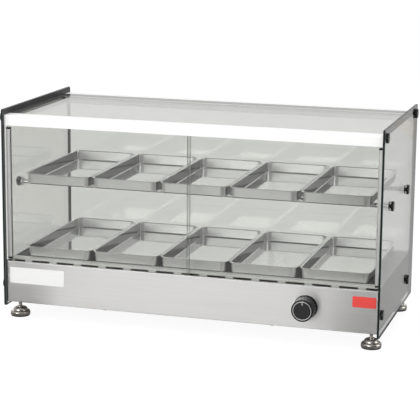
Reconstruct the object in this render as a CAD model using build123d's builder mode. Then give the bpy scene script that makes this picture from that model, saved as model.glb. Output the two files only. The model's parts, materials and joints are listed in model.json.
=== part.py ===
"""Heated display case for a shop counter: a low steel base with a warm deck, two glass ends
bolted to rails and rods, a pair of sliding glass doors, and ten shallow food pans in two tiers.

Frame: X to the right, Y to the rear, Z up, millimetres. The case stands on Z = 0 and is centred
on X = Y = 0, with the knob and the cable gland counted in.
"""
import os

from build123d import *

os.makedirs("parts", exist_ok=True)

# Driving dimensions: case and end glasses
case_width = 850
end_glass_depth = 400
end_glass_height = 443
end_glass_thickness = 5
end_glass_corner = 5
end_glass_arris = 0.6
end_glass_drop = 8
top_recess = 13
panel_inset = 7.5
pane_gap = 1.0

# Driving dimensions: steel base
foot_height = 38
base_height = 94
sheet = 1.2
bend_radius = 1.5
rebate_radius = 0.4
bottom_flange = 14
side_foot_flange = 36
track_lip = 4
channel_depth = 10
front_channel_width = 24
rear_channel_width = 8
deck_rise = 1.5
front_deck_ledge = 22
rear_deck_ledge = 10
deck_plate_thickness = 2
plate_rebate = 10
side_plate_flange = 14
plate_gap = 0.5
cover_overlap = 10

# Driving dimensions: warm-air slots behind the doors, and vents in the hidden faces
slot_length = 42
slot_pitch = 58.4
slot_height = 4.5
slot_rise = 3.0
end_slot_length = 26
slot_end_land = 4
rear_vent_length = 40
rear_vent_height = 4
rear_vent_pitch = 60
rear_vent_row_pitch = 12
rear_vent_columns = 8
rear_vent_rows = 2
rear_vent_rise = 52
rear_vent_centre_x = -100
bottom_vent_length = 60
bottom_vent_width = 5
bottom_vent_pitch = 110
bottom_vent_row_pitch = 60
bottom_vent_columns = 5
bottom_vent_rows = 3

# Driving dimensions: top rails and top glass
rail_height = 23
rail_wall = 1.6
rail_nose = 3
front_rail_depth = 30
rear_rail_depth = 26
rail_ledge = 12
port_radius = 4.4
port_drop = 5.5
front_port_inset = 9
top_glass_thickness = 5
rear_glass_thickness = 4
rear_glass_entry = 9
gasket_floor = 2
gasket_height = 7

# Driving dimensions: doors and their tracks
door_thickness = 4
door_front_inset = 8.5
door_pitch = 8
door_overlap = 9
door_side_clearance = 0.6
door_sill_clearance = 0.3
door_entry = 6
lower_track_height = 5
lower_groove_depth = 4
upper_track_height = 12
track_wall = 1.4
handle_width = 10
handle_depth = 8
handle_slot_depth = 7
handle_slot_clearance = 0.05
handle_lip = 1.5
handle_groove = 1.0
handle_gap = 1.0
handle_corner = 1.0
handle_bottom_rise = 8.5
handle_top_drop = 9
plug_height = 4
plug_clearance = 0.2

# Driving dimensions: shelf rods and the glass fixings
shelf_rise = 162
rod_diameter = 10
front_rod_inset = 56.5
rear_rod_inset = 78.5
rod_washer_diameter = 19.5
rod_washer_thickness = 3.5
rod_chamfer = 0.5
screw_diameter = 5
thread_gap = 0.04
screw_reach = 12
screw_head_diameter = 9.5
screw_head_height = 3
thread_depth_gap = 4
glass_hole_diameter = 8
sleeve_clearance = 0.1
sleeve_bore = 5.2
cap_diameter = 21.5
cap_height = 6
cap_edge = 2
cap_wall = 1.4
cap_washer_diameter = 16
cap_washer_thickness = 1.4
cap_head_gap = 0.3
cap_fit = 0.1
base_screw_height = 41
base_screw_front_inset = 10
base_screw_rear_inset = 63
weld_nut_diameter = 10
weld_nut_thickness = 5

# Driving dimensions: pans
pan_width = 156
pan_gap = 1.5
pan_rear_gap = 10
pan_height = 24
pan_wall = 0.9
pan_rim = 4
pan_corner = 19
pan_taper = 3
pan_floor_radius = 3.5
pan_rest_gap = 0.3
lower_pan_inset = 40
upper_pan_inset = 36

# Driving dimensions: knob and thermostat
knob_reach = 34.5
knob_end_inset = 153.8
knob_height = 47
knob_diameter = 49
knob_taper = 1.0
knob_edge = 1.6
knob_running_gap = 1.0
knob_face_recess = 1.0
knob_socket_depth = 14
grip_count = 24
grip_depth = 0.9
grip_radius = 1.6
grip_start = 6
ring_mean_diameter = 39
ring_width = 1.3
pointer_length = 6
pointer_width = 1.2
bezel_diameter = 52
bezel_thickness = 2.5
bezel_edge = 1
shaft_diameter = 6
shaft_fit = 0.05
shaft_bore_depth = 16
thermostat_width = 36
thermostat_depth = 26
thermostat_corner = 4
neck_diameter = 10
neck_hole_diameter = 10.4
neck_setback = 0.5
shaft_tip_gap = 0.5

# Driving dimensions: heater under the deck
shield_depth = 30
shield_side_gap = 3
shield_end_gap = 14
element_diameter = 8.5
element_runs = 4
element_run_pitch = 62
element_bend_radius = 20
element_end_margin = 60
element_height = 14
bracket_thickness = 2
bracket_end = 12
bracket_end_inset = 41.8
pin_diameter = 4
pin_length = 20
bulb_diameter = 6
bulb_length = 90
capillary_diameter = 2.5
capillary_radius = 8
capillary_lead = 20
capillary_drop = 12
capillary_clearance = 1.25

# Driving dimensions: rear and underside fittings
gland_reach = 16
gland_end_inset = 88.8
gland_height = 30
gland_thread_diameter = 16
gland_thread_length = 10
gland_hex = 20
gland_hex_height = 6
gland_dome_diameter = 17
gland_bore = 8
gland_nut_thickness = 4
gland_edge = 3
terminal_length = 48
terminal_width = 24
terminal_height = 16
terminal_ways = 3
terminal_inset = 45
terminal_corner = 2
terminal_well_diameter = 6
terminal_well_depth = 8
foot_end_inset = 16.8
front_foot_inset = 30.5
rear_foot_inset = 40.5
foot_stem_diameter = 8
foot_stem_fit = 0.08
foot_pad_height = 3
foot_pad_diameter = 42
foot_bell_diameter = 44
foot_bell_height = 22
foot_rim_height = 4
foot_shoulder_diameter = 35
foot_shoulder_height = 13
foot_step = 1.2
foot_crown_diameter = 13
foot_crown_height = 20.5
foot_bulge = 1.5
foot_nut_diameter = 11
foot_nut_collar = 14
foot_nut_collar_height = 1.5
foot_nut_length = 15
foot_stem_spare = 3
cover_screw_diameter = 4
cover_screw_head = 7.5
cover_screw_head_height = 2.2
cover_screw_tip = 3
cover_screw_spacing = 380

# Places that follow from the driving dimensions
inner_half = case_width / 2 - end_glass_thickness
base_depth = end_glass_depth - 2 * panel_inset
front_y = -(base_depth + gland_reach - knob_reach) / 2
rear_y = front_y + base_depth
glass_front_y = front_y - panel_inset
glass_rear_y = rear_y + panel_inset
base_bottom = foot_height
base_top = base_bottom + base_height
deck_z = base_top + deck_rise
glass_bottom = base_bottom - end_glass_drop
glass_top = glass_bottom + end_glass_height
top_z = glass_top - top_recess
rail_bottom = top_z - rail_height
rod_z = deck_z + shelf_rise
channel_floor = base_top - channel_depth
panel_half = inner_half - sheet
plate_bottom = deck_z - deck_plate_thickness
knob_x = panel_half - knob_end_inset
knob_z = base_bottom + knob_height
port_z = top_z - port_drop
gland_x = panel_half - gland_end_inset
gland_z = base_bottom + gland_height
riser_y = front_y + track_lip + front_channel_width
front_plate_y = riser_y + front_deck_ledge
rear_riser_y = rear_y - track_lip - rear_channel_width
rear_plate_y = rear_riser_y - rear_deck_ledge
rear_glass_y = rear_y - track_lip - rear_channel_width / 2
groove_width = door_thickness + 2 * door_side_clearance
door_lanes = (front_y + door_front_inset, front_y + door_front_inset + door_pitch)
mid_y = (front_y + rear_y) / 2
pan_rear_y = rear_glass_y - rear_glass_thickness / 2 - pan_rear_gap
pan_length = pan_rear_y - (front_y + lower_pan_inset)
pan_pitch = pan_width + pan_gap
pan_count = int((2 * inner_half + pan_gap) / pan_pitch)
front_rod_y = front_y + upper_pan_inset + front_rod_inset
rear_rod_y = front_y + upper_pan_inset + pan_length - rear_rod_inset
plate_mid_y = (front_plate_y + rear_plate_y) / 2
front_port_y = front_y + front_port_inset
rear_port_y = (rear_glass_y - groove_width / 2 + rear_y - rear_rail_depth) / 2
cover_screw_x = (-cover_screw_spacing / 2, cover_screw_spacing / 2)
fold_radii = 7 * [bend_radius] + [rebate_radius]


def finish(piece, label):
    """Label a finished piece and write its file."""
    piece.part.label = label
    export_step(piece.part, f"parts/{label}.step")


def outward_plane(side, reach):
    """Upright plane on one side (-1 left, 1 right), facing away from the middle: local (y, side * z)."""
    return Plane(origin=(side * reach, 0, 0), x_dir=(0, 1, 0), z_dir=(side, 0, 0))


def inward_plane(side, reach):
    """The same upright plane, facing the middle: local (y, -side * z)."""
    return Plane(origin=(side * reach, 0, 0), x_dir=(0, 1, 0), z_dir=(-side, 0, 0))


# Fixing points through each end glass, as (y, z): rails, shelf rods and base
fixing_points = (
    (front_port_y, port_z),
    (rear_port_y, port_z),
    (front_rod_y, rod_z),
    (rear_rod_y, rod_z),
    (front_y + base_screw_front_inset, base_bottom + base_screw_height),
    (rear_y - base_screw_rear_inset, base_bottom + base_screw_height),
)

# End glasses: upright panes that carry everything, drilled for six fixings each
for side, label in ((-1, "left_end_glass"), (1, "right_end_glass")):
    with BuildPart() as end_glass:
        with BuildSketch(outward_plane(side, inner_half)) as pane:
            centre = ((glass_front_y + glass_rear_y) / 2, (glass_bottom + glass_top) / 2 * side)
            with Locations(centre):
                RectangleRounded(end_glass_depth, end_glass_height, end_glass_corner)
            with Locations(*[(y, z * side) for y, z in fixing_points]):
                Circle(glass_hole_diameter / 2, mode=Mode.SUBTRACT)
        extrude(amount=end_glass_thickness)
        flat_faces = end_glass.faces().sort_by(Axis.X)
        outlines = (flat_faces[0].outer_wire().edges(), flat_faces[-1].outer_wire().edges())
        chamfer(outlines[0] + outlines[1], length=end_glass_arris)
    finish(end_glass, label)

# Front panel: one folded sheet from the bottom flange up to the deck, with the door channel,
# the slotted riser behind the doors and the rebate that carries the warm plate
with BuildPart() as front_panel:
    with BuildSketch(Plane.YZ) as section:
        with BuildLine() as fold:
            FilletPolyline(
                (front_y + bottom_flange, base_bottom),
                (front_y, base_bottom),
                (front_y, base_top),
                (front_y + track_lip, base_top),
                (front_y + track_lip, channel_floor),
                (riser_y, channel_floor),
                (riser_y, deck_z),
                (front_plate_y, deck_z),
                (front_plate_y, plate_bottom),
                (front_plate_y + plate_rebate, plate_bottom),
                radius=fold_radii,
            )
            offset(amount=sheet, side=Side.RIGHT)
        make_face()
    extrude(amount=panel_half, both=True)
    slot_plane = Plane(origin=(0, riser_y, channel_floor + slot_rise + slot_height / 2),
                       x_dir=(1, 0, 0), z_dir=(0, -1, 0))
    slot_reach = panel_half - slot_end_land + slot_length / 2 - end_slot_length
    full_slots = 2 * int(slot_reach / slot_pitch) - 1
    end_slot_x = (full_slots + 1) / 2 * slot_pitch - (slot_length - end_slot_length) / 2
    with BuildSketch(slot_plane) as slots:
        with GridLocations(slot_pitch, slot_pitch, full_slots, 1):
            SlotOverall(slot_length, slot_height)
        with Locations((-end_slot_x, 0), (end_slot_x, 0)):
            SlotOverall(end_slot_length, slot_height)
    extrude(amount=2 * sheet, both=True, mode=Mode.SUBTRACT)
    with BuildSketch(Plane.XZ.offset(-front_y)) as neck_hole:
        with Locations((knob_x, knob_z)):
            Circle(neck_hole_diameter / 2)
    extrude(amount=2 * sheet, both=True, mode=Mode.SUBTRACT)
    with BuildSketch(Plane.XY.offset(base_bottom)) as holes:
        with Locations(*[(x, front_y + bottom_flange / 2) for x in cover_screw_x]):
            Circle(cover_screw_diameter / 2 + cap_fit)
    extrude(amount=sheet, mode=Mode.SUBTRACT)
finish(front_panel, "front_panel")

# Rear panel: the same kind of fold, with a narrow channel for the rear glass and rows of vents
with BuildPart() as rear_panel:
    with BuildSketch(Plane.YZ) as section:
        with BuildLine() as fold:
            FilletPolyline(
                (rear_y - bottom_flange, base_bottom),
                (rear_y, base_bottom),
                (rear_y, base_top),
                (rear_y - track_lip, base_top),
                (rear_y - track_lip, channel_floor),
                (rear_riser_y, channel_floor),
                (rear_riser_y, deck_z),
                (rear_plate_y, deck_z),
                (rear_plate_y, plate_bottom),
                (rear_plate_y - plate_rebate, plate_bottom),
                radius=fold_radii,
            )
            offset(amount=sheet, side=Side.LEFT)
        make_face()
    extrude(amount=panel_half, both=True)
    with BuildSketch(Plane.XZ.offset(-rear_y)) as rear_cuts:
        with Locations((rear_vent_centre_x, base_bottom + rear_vent_rise)):
            with GridLocations(rear_vent_pitch, rear_vent_row_pitch, rear_vent_columns, rear_vent_rows):
                SlotOverall(rear_vent_length, rear_vent_height)
        with Locations((gland_x, gland_z)):
            Circle(gland_thread_diameter / 2 + cap_fit)
    extrude(amount=2 * sheet, both=True, mode=Mode.SUBTRACT)
    with BuildSketch(Plane.XY.offset(base_bottom)) as holes:
        with Locations(*[(x, rear_y - bottom_flange / 2) for x in cover_screw_x]):
            Circle(cover_screw_diameter / 2 + cap_fit)
    extrude(amount=sheet, mode=Mode.SUBTRACT)
finish(rear_panel, "rear_panel")

# Side panels: flat against the end glasses, with a ledge for the warm plate and a wide bottom
# flange that carries the feet
foot_x = panel_half - foot_end_inset
foot_ys = (front_y + front_foot_inset, rear_y - rear_foot_inset)
foot_places = [(x, y) for x in (-foot_x, foot_x) for y in foot_ys]
side_plate_length = rear_plate_y - front_plate_y - 2 * plate_rebate - 2 * pane_gap
for side, label in ((-1, "left_side_panel"), (1, "right_side_panel")):
    with BuildPart() as side_panel:
        with BuildSketch(outward_plane(side, panel_half)) as wall:
            with Locations((mid_y, side * (base_bottom + deck_z) / 2)):
                Rectangle(base_depth, deck_z - base_bottom)
            with Locations(*[(y, side * z) for y, z in fixing_points[4:]]):
                Circle(sleeve_bore / 2, mode=Mode.SUBTRACT)
        extrude(amount=sheet)
        with BuildSketch(Plane.XY.offset(base_bottom)) as bottom_flange_face:
            with Locations((side * (panel_half - side_foot_flange / 2), mid_y)):
                Rectangle(side_foot_flange, base_depth - 2 * bottom_flange - 2 * pane_gap)
            with Locations(*foot_places):
                Circle(foot_nut_diameter / 2 + cap_fit, mode=Mode.SUBTRACT)
        extrude(amount=sheet)
        with BuildSketch(Plane.XY.offset(plate_bottom - sheet)) as plate_flange:
            with Locations((side * (panel_half - side_plate_flange / 2), plate_mid_y)):
                Rectangle(side_plate_flange, side_plate_length)
        extrude(amount=sheet)
    finish(side_panel, label)

# Bottom cover: a vented plate that lies on the flanges, with its four screws from below
cover_half_x = panel_half - side_foot_flange + cover_overlap
cover_screw_ys = (front_y + bottom_flange / 2, rear_y - bottom_flange / 2)
cover_screw_places = [(x, y) for x in cover_screw_x for y in cover_screw_ys]
with BuildPart() as bottom_cover:
    with BuildSketch(Plane.XY.offset(base_bottom + sheet)) as plate:
        with Locations((0, mid_y)):
            Rectangle(2 * cover_half_x, base_depth - 2 * sheet - 2 * pane_gap)
            with GridLocations(
                bottom_vent_pitch, bottom_vent_row_pitch, bottom_vent_columns, bottom_vent_rows
            ):
                SlotOverall(bottom_vent_length, bottom_vent_width, mode=Mode.SUBTRACT)
        with Locations(*cover_screw_places):
            Circle(cover_screw_diameter / 2 + cap_fit, mode=Mode.SUBTRACT)
    extrude(amount=sheet)
finish(bottom_cover, "bottom_cover")

with BuildPart() as cover_screws:
    with BuildSketch(Plane.XY.offset(base_bottom)) as heads:
        with Locations(*cover_screw_places):
            Circle(cover_screw_head / 2)
    extrude(amount=-cover_screw_head_height)
    with BuildSketch(Plane.XY.offset(base_bottom)) as shanks:
        with Locations(*cover_screw_places):
            Circle(cover_screw_diameter / 2)
    extrude(amount=2 * sheet + cover_screw_tip)
finish(cover_screws, "cover_screws")

# Warm plate: the dark plate that the lower pans stand on, flush in the rebate
with BuildPart() as deck_plate:
    with BuildSketch(Plane.XY.offset(plate_bottom)) as plate:
        with Locations((0, plate_mid_y)):
            Rectangle(2 * (panel_half - plate_gap), rear_plate_y - front_plate_y - 2 * plate_gap)
    extrude(amount=deck_plate_thickness)
finish(deck_plate, "deck_plate")

# Heat shield: a tray hung by two flanges under the side ledges, with the heater lying in it
shield_top = plate_bottom - sheet
shield_floor = shield_top - shield_depth + sheet
shield_half_x = panel_half - side_plate_flange - shield_side_gap
shield_front = front_plate_y + plate_rebate + shield_end_gap
shield_rear = rear_plate_y - plate_rebate - shield_end_gap
shield_mid_y = (shield_front + shield_rear) / 2
hanger_inner = shield_half_x - sheet
hanger_outer = panel_half - pane_gap
hanger_x = (hanger_inner + hanger_outer) / 2
element_z = shield_floor + element_height
bulb_z = shield_floor + bulb_diameter / 2
with BuildPart() as heat_shield:
    with BuildSketch(Plane.XY.offset(shield_top)) as mouth:
        with Locations((0, shield_mid_y)):
            Rectangle(2 * shield_half_x, shield_rear - shield_front)
    extrude(amount=-shield_depth)
    offset(amount=-sheet, openings=heat_shield.faces().sort_by(Axis.Z)[-1])
    with BuildSketch(Plane.XY.offset(shield_top)) as hangers:
        with Locations((-hanger_x, shield_mid_y), (hanger_x, shield_mid_y)):
            Rectangle(hanger_outer - hanger_inner, shield_rear - shield_front)
    extrude(amount=-sheet)
    with BuildSketch(Plane.XZ.offset(-shield_front)) as capillary_hole:
        with Locations((knob_x, bulb_z)):
            Circle(capillary_diameter / 2 + capillary_clearance)
    extrude(amount=2 * sheet, both=True, mode=Mode.SUBTRACT)
finish(heat_shield, "heat_shield")

# Heating element: one tubular rod laid in straight runs along the tray, with its two pins
run_half_x = shield_half_x - element_end_margin
run_ys = [shield_mid_y + (i - (element_runs - 1) / 2) * element_run_pitch for i in range(element_runs)]
run_points = []
for i, run_y in enumerate(run_ys):
    start_x = run_half_x if i % 2 == 0 else -run_half_x
    run_points += [(start_x, run_y, element_z), (-start_x, run_y, element_z)]
with BuildPart() as heating_element:
    with BuildLine() as route:
        FilletPolyline(*run_points, radius=element_bend_radius)
    with BuildSketch(Plane(origin=run_points[0], z_dir=(-1, 0, 0))) as tube:
        Circle(element_diameter / 2)
    sweep()
    with BuildSketch(Plane(origin=(run_half_x, 0, 0), z_dir=(1, 0, 0), x_dir=(0, 1, 0))) as pins:
        with Locations((run_ys[0], element_z), (run_ys[-1], element_z)):
            Circle(pin_diameter / 2)
    extrude(amount=pin_length)
finish(heating_element, "heating_element")

# Element brackets: notched strips that hold the runs clear of the tray
with BuildPart() as element_brackets:
    for side in (-1, 1):
        bracket_x = side * (run_half_x - bracket_end_inset)
        with BuildSketch(Plane(origin=(bracket_x, 0, 0), z_dir=(1, 0, 0), x_dir=(0, 1, 0))) as strip:
            with Locations((shield_mid_y, shield_floor + element_height / 2)):
                Rectangle((element_runs - 1) * element_run_pitch + 2 * bracket_end, element_height)
            with Locations(*[(run_y, element_z) for run_y in run_ys]):
                Circle(element_diameter / 2 + cap_fit, mode=Mode.SUBTRACT)
        extrude(amount=bracket_thickness)
finish(element_brackets, "element_brackets")

# Lower door track: a plastic strip with two grooves in the front channel
track_rear = door_lanes[-1] + groove_width / 2 + track_wall
groove_top = channel_floor + lower_track_height
with BuildPart() as lower_door_track:
    with BuildSketch(Plane.YZ) as section:
        with BuildLine() as outline:
            Polyline(
                (front_y + track_lip, channel_floor + bend_radius),
                (front_y + track_lip + bend_radius, channel_floor),
                (track_rear, channel_floor),
                (track_rear, groove_top),
                (front_y + track_lip, groove_top),
                close=True,
            )
        make_face()
        with Locations(*[(y, groove_top - lower_groove_depth / 2) for y in door_lanes]):
            Rectangle(groove_width, lower_groove_depth, mode=Mode.SUBTRACT)
    extrude(amount=panel_half - pane_gap, both=True)
finish(lower_door_track, "lower_door_track")


def rail_section(face_y, inward, depth, port_y):
    """Draw a channel open below: a nose on its outer top edge, a ledge for the top glass on its
    inner side and a screw port under its roof."""
    ledge_z = top_z - top_glass_thickness
    back = face_y + inward * depth
    with BuildSketch(Plane.YZ) as section:
        with BuildLine() as outline:
            FilletPolyline(
                (face_y, rail_bottom),
                (face_y, top_z),
                (back, top_z),
                radius=rail_nose,
            )
            Polyline(
                (back, top_z),
                (back, ledge_z),
                (back + inward * rail_ledge, ledge_z),
                (back + inward * rail_ledge, ledge_z - rail_wall),
                (back, ledge_z - rail_wall),
                (back, rail_bottom),
                (back - inward * rail_wall, rail_bottom),
                (back - inward * rail_wall, top_z - rail_wall),
                (face_y + inward * rail_wall, top_z - rail_wall),
                (face_y + inward * rail_wall, rail_bottom),
                (face_y, rail_bottom),
            )
        make_face()
        with Locations((port_y, port_z)):
            Circle(port_radius)
            Circle(screw_diameter / 2 + thread_gap, mode=Mode.SUBTRACT)
    return section.sketch


# Front top rail: a white channel over the doors, with a screw port in its roof
with BuildPart() as front_top_rail:
    extrude(rail_section(front_y, 1, front_rail_depth, front_port_y), amount=inner_half, both=True)
finish(front_top_rail, "front_top_rail")

# Rear top rail: the same channel turned round, with two inner walls that hold the rear glass
with BuildPart() as rear_top_rail:
    extrude(rail_section(rear_y, -1, rear_rail_depth, rear_port_y), amount=inner_half, both=True)
    wall_offset = groove_width / 2 + rail_wall / 2
    with BuildSketch(Plane.YZ) as groove_walls:
        with Locations((rear_glass_y, rail_bottom + (rail_height - rail_wall) / 2)):
            with GridLocations(2 * wall_offset, 1, 2, 1):
                Rectangle(rail_wall, rail_height - rail_wall)
    extrude(amount=inner_half, both=True)
finish(rear_top_rail, "rear_top_rail")

# Upper door track: a plastic strip that fills the mouth of the front rail
track_back = front_y + front_rail_depth - rail_wall
with BuildPart() as upper_door_track:
    with BuildSketch(Plane.YZ) as section:
        with BuildLine() as outline:
            Polyline(
                (front_y + rail_wall, rail_bottom),
                (track_back, rail_bottom),
                (track_back, rail_bottom + upper_track_height),
                (front_y + rail_wall, rail_bottom + upper_track_height),
                close=True,
            )
        make_face()
        groove_depth = upper_track_height - track_wall
        with Locations(*[(y, rail_bottom + groove_depth / 2) for y in door_lanes]):
            Rectangle(groove_width, groove_depth, mode=Mode.SUBTRACT)
        spare_front = door_lanes[-1] + groove_width / 2 + track_wall
        spare_width = track_back - track_wall - spare_front
        with Locations((spare_front + spare_width / 2, rail_bottom + groove_depth / 2)):
            Rectangle(spare_width, groove_depth, mode=Mode.SUBTRACT)
    extrude(amount=inner_half, both=True)
finish(upper_door_track, "upper_door_track")

# Top glass: lies on the two rail ledges, flush with the rails
with BuildPart() as top_glass:
    glass_front = front_y + front_rail_depth + pane_gap
    glass_rear = rear_y - rear_rail_depth - pane_gap
    with BuildSketch(Plane.XY.offset(top_z - top_glass_thickness)) as pane:
        with Locations((0, (glass_front + glass_rear) / 2)):
            Rectangle(2 * (inner_half - pane_gap), glass_rear - glass_front)
    extrude(amount=top_glass_thickness)
finish(top_glass, "top_glass")

# Rear glass: one fixed pane from the gasket in the rear channel up into the rear rail
with BuildPart() as rear_glass:
    pane_bottom = channel_floor + gasket_floor
    pane_top = rail_bottom + rear_glass_entry
    with BuildSketch(Plane.XZ.offset(-rear_glass_y)) as pane:
        with Locations((0, (pane_bottom + pane_top) / 2)):
            Rectangle(2 * (panel_half - pane_gap), pane_top - pane_bottom)
    extrude(amount=rear_glass_thickness / 2, both=True)
finish(rear_glass, "rear_glass")

# Rear gasket: a rubber channel round the foot of the rear glass
with BuildPart() as rear_gasket:
    with BuildSketch(Plane.YZ) as section:
        with BuildLine() as outline:
            Polyline(
                (rear_riser_y, channel_floor + gasket_height),
                (rear_riser_y, channel_floor + bend_radius),
                (rear_riser_y + bend_radius, channel_floor),
                (rear_riser_y + rear_channel_width - bend_radius, channel_floor),
                (rear_riser_y + rear_channel_width, channel_floor + bend_radius),
                (rear_riser_y + rear_channel_width, channel_floor + gasket_height),
                close=True,
            )
        make_face()
        with Locations((rear_glass_y, channel_floor + (gasket_height + gasket_floor) / 2)):
            Rectangle(rear_glass_thickness, gasket_height - gasket_floor, mode=Mode.SUBTRACT)
    extrude(amount=panel_half - pane_gap, both=True)
finish(rear_gasket, "rear_gasket")

# Shelf rods: two bright bars between the end glasses, drilled at both ends
rod_half = inner_half - rod_washer_thickness
for rod_y, label in ((front_rod_y, "front_shelf_rod"), (rear_rod_y, "rear_shelf_rod")):
    with BuildPart() as shelf_rod:
        with BuildSketch(Plane(origin=(-rod_half, rod_y, rod_z), z_dir=(1, 0, 0))) as section:
            Circle(rod_diameter / 2)
        extrude(amount=2 * rod_half)
        chamfer(shelf_rod.edges().filter_by(GeomType.CIRCLE), length=rod_chamfer)
        for end in (-1, 1):
            with BuildSketch(inward_plane(end, rod_half)) as bore:
                with Locations((rod_y, -end * rod_z)):
                    Circle(screw_diameter / 2 + thread_gap)
            extrude(amount=screw_reach - rod_washer_thickness + thread_depth_gap, mode=Mode.SUBTRACT)
    finish(shelf_rod, label)

with BuildPart() as rod_washers:
    for side in (-1, 1):
        with BuildSketch(inward_plane(side, inner_half)) as rings:
            with Locations(*[(y, -side * z) for y, z in fixing_points[2:4]]):
                Circle(rod_washer_diameter / 2)
                Circle(sleeve_bore / 2, mode=Mode.SUBTRACT)
        extrude(amount=rod_washer_thickness)
finish(rod_washers, "rod_washers")

# Weld nuts inside the side panels take the two lower fixings of each end glass
with BuildPart() as weld_nuts:
    for side in (-1, 1):
        with BuildSketch(inward_plane(side, panel_half)) as rings:
            with Locations(*[(y, -side * z) for y, z in fixing_points[4:]]):
                RegularPolygon(weld_nut_diameter / 2, 6, major_radius=False)
                Circle(screw_diameter / 2 + thread_gap, mode=Mode.SUBTRACT)
        extrude(amount=weld_nut_thickness)
finish(weld_nuts, "weld_nuts")

# Sleeved washers, screws and snap-on caps of the end glass fixings
outer_half = case_width / 2
sleeve_length = end_glass_thickness - sleeve_clearance
with BuildPart() as fixing_washers:
    for side in (-1, 1):
        face = outward_plane(side, outer_half)
        with BuildSketch(face) as discs:
            with Locations(*[(y, side * z) for y, z in fixing_points]):
                Circle(cap_washer_diameter / 2)
                Circle(sleeve_bore / 2, mode=Mode.SUBTRACT)
        extrude(amount=cap_washer_thickness)
        with BuildSketch(face) as sleeves:
            with Locations(*[(y, side * z) for y, z in fixing_points]):
                Circle(glass_hole_diameter / 2 - sleeve_clearance)
                Circle(sleeve_bore / 2, mode=Mode.SUBTRACT)
        extrude(amount=-sleeve_length)
finish(fixing_washers, "fixing_washers")

with BuildPart() as fixing_screws:
    for side in (-1, 1):
        seat = outward_plane(side, outer_half + cap_washer_thickness)
        with BuildSketch(seat) as heads:
            with Locations(*[(y, side * z) for y, z in fixing_points]):
                Circle(screw_head_diameter / 2)
        extrude(amount=screw_head_height)
        with BuildSketch(seat) as shanks:
            with Locations(*[(y, side * z) for y, z in fixing_points]):
                Circle(screw_diameter / 2)
        extrude(amount=-(cap_washer_thickness + end_glass_thickness + screw_reach))
finish(fixing_screws, "fixing_screws")

with BuildPart() as screw_caps:
    for side in (-1, 1):
        face = outward_plane(side, outer_half)
        with BuildSketch(face) as discs:
            with Locations(*[(y, side * z) for y, z in fixing_points]):
                Circle(cap_diameter / 2)
        extrude(amount=cap_height)
        outer_rims = screw_caps.edges().group_by(Axis.X)[0 if side < 0 else -1]
        fillet(outer_rims, radius=cap_edge)
        with BuildSketch(face) as washer_pockets:
            with Locations(*[(y, side * z) for y, z in fixing_points]):
                Circle(cap_washer_diameter / 2 + cap_fit)
        extrude(amount=cap_washer_thickness, mode=Mode.SUBTRACT)
        with BuildSketch(face) as head_pockets:
            with Locations(*[(y, side * z) for y, z in fixing_points]):
                Circle(screw_head_diameter / 2 + cap_head_gap)
        extrude(amount=cap_height - cap_wall, mode=Mode.SUBTRACT)
finish(screw_caps, "screw_caps")

# Sliding doors: each a glass pane with an aluminium pull on its outer edge and two end plugs
pane_low = channel_floor + lower_track_height - lower_groove_depth + door_sill_clearance
pane_high = rail_bottom + door_entry
pull_low = base_top + handle_bottom_rise
pull_high = rail_bottom - handle_top_drop
pull_outer = inner_half - handle_gap
pane_outer = pull_outer - (handle_width - handle_slot_depth)
pull_inner = pull_outer - handle_width


def pull_section(side, lane_y, margin):
    """Sketch the clamp that grips the pane's edge, open towards the middle of the case."""
    with Locations((side * (pull_inner + handle_width / 2), lane_y)):
        RectangleRounded(handle_width - 2 * margin, handle_depth - 2 * margin, handle_corner)
    with Locations((side * (pull_inner + handle_slot_depth / 2), lane_y)):
        Rectangle(handle_slot_depth, door_thickness + 2 * handle_slot_clearance, mode=Mode.SUBTRACT)


for side, lane_y, name in ((-1, door_lanes[0], "left"), (1, door_lanes[1], "right")):
    with BuildPart() as door_glass:
        with BuildSketch(Plane.XZ.offset(-lane_y)) as pane:
            with Locations((side * (pane_outer - door_overlap / 2) / 2, (pane_low + pane_high) / 2)):
                Rectangle(pane_outer + door_overlap / 2, pane_high - pane_low)
        extrude(amount=door_thickness / 2, both=True)
    finish(door_glass, f"{name}_door_glass")

    with BuildPart() as door_handle:
        with BuildSketch(Plane.XY.offset(pull_low)) as section:
            pull_section(side, lane_y, 0)
            groove_x = pull_inner + handle_lip + handle_groove / 2
            with Locations((side * groove_x, lane_y - handle_depth / 2)):
                Rectangle(handle_groove, 2 * handle_groove, mode=Mode.SUBTRACT)
        extrude(amount=pull_high - pull_low)
    finish(door_handle, f"{name}_door_handle")

    with BuildPart() as handle_plugs:
        for plug_z in (pull_low - plug_height, pull_high):
            with BuildSketch(Plane.XY.offset(plug_z)) as section:
                pull_section(side, lane_y, plug_clearance)
            extrude(amount=plug_height)
    finish(handle_plugs, f"{name}_handle_plugs")


# Pans: pressed trays with tapered walls, a rounded floor edge and a flat turned-out rim
def pan_form(rim_plane, inset, depth):
    """Tapered, round-cornered block that hangs from the rim plane, inset from the rim's edge."""
    with BuildPart() as form:
        with BuildSketch(rim_plane) as mouth:
            RectangleRounded(pan_width - 2 * inset, pan_length - 2 * inset, pan_corner - inset)
        extrude(amount=-depth, taper=pan_taper)
        fillet(form.edges().group_by(Axis.Z)[0], radius=pan_floor_radius + pan_rim - inset)
    return form.part


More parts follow.
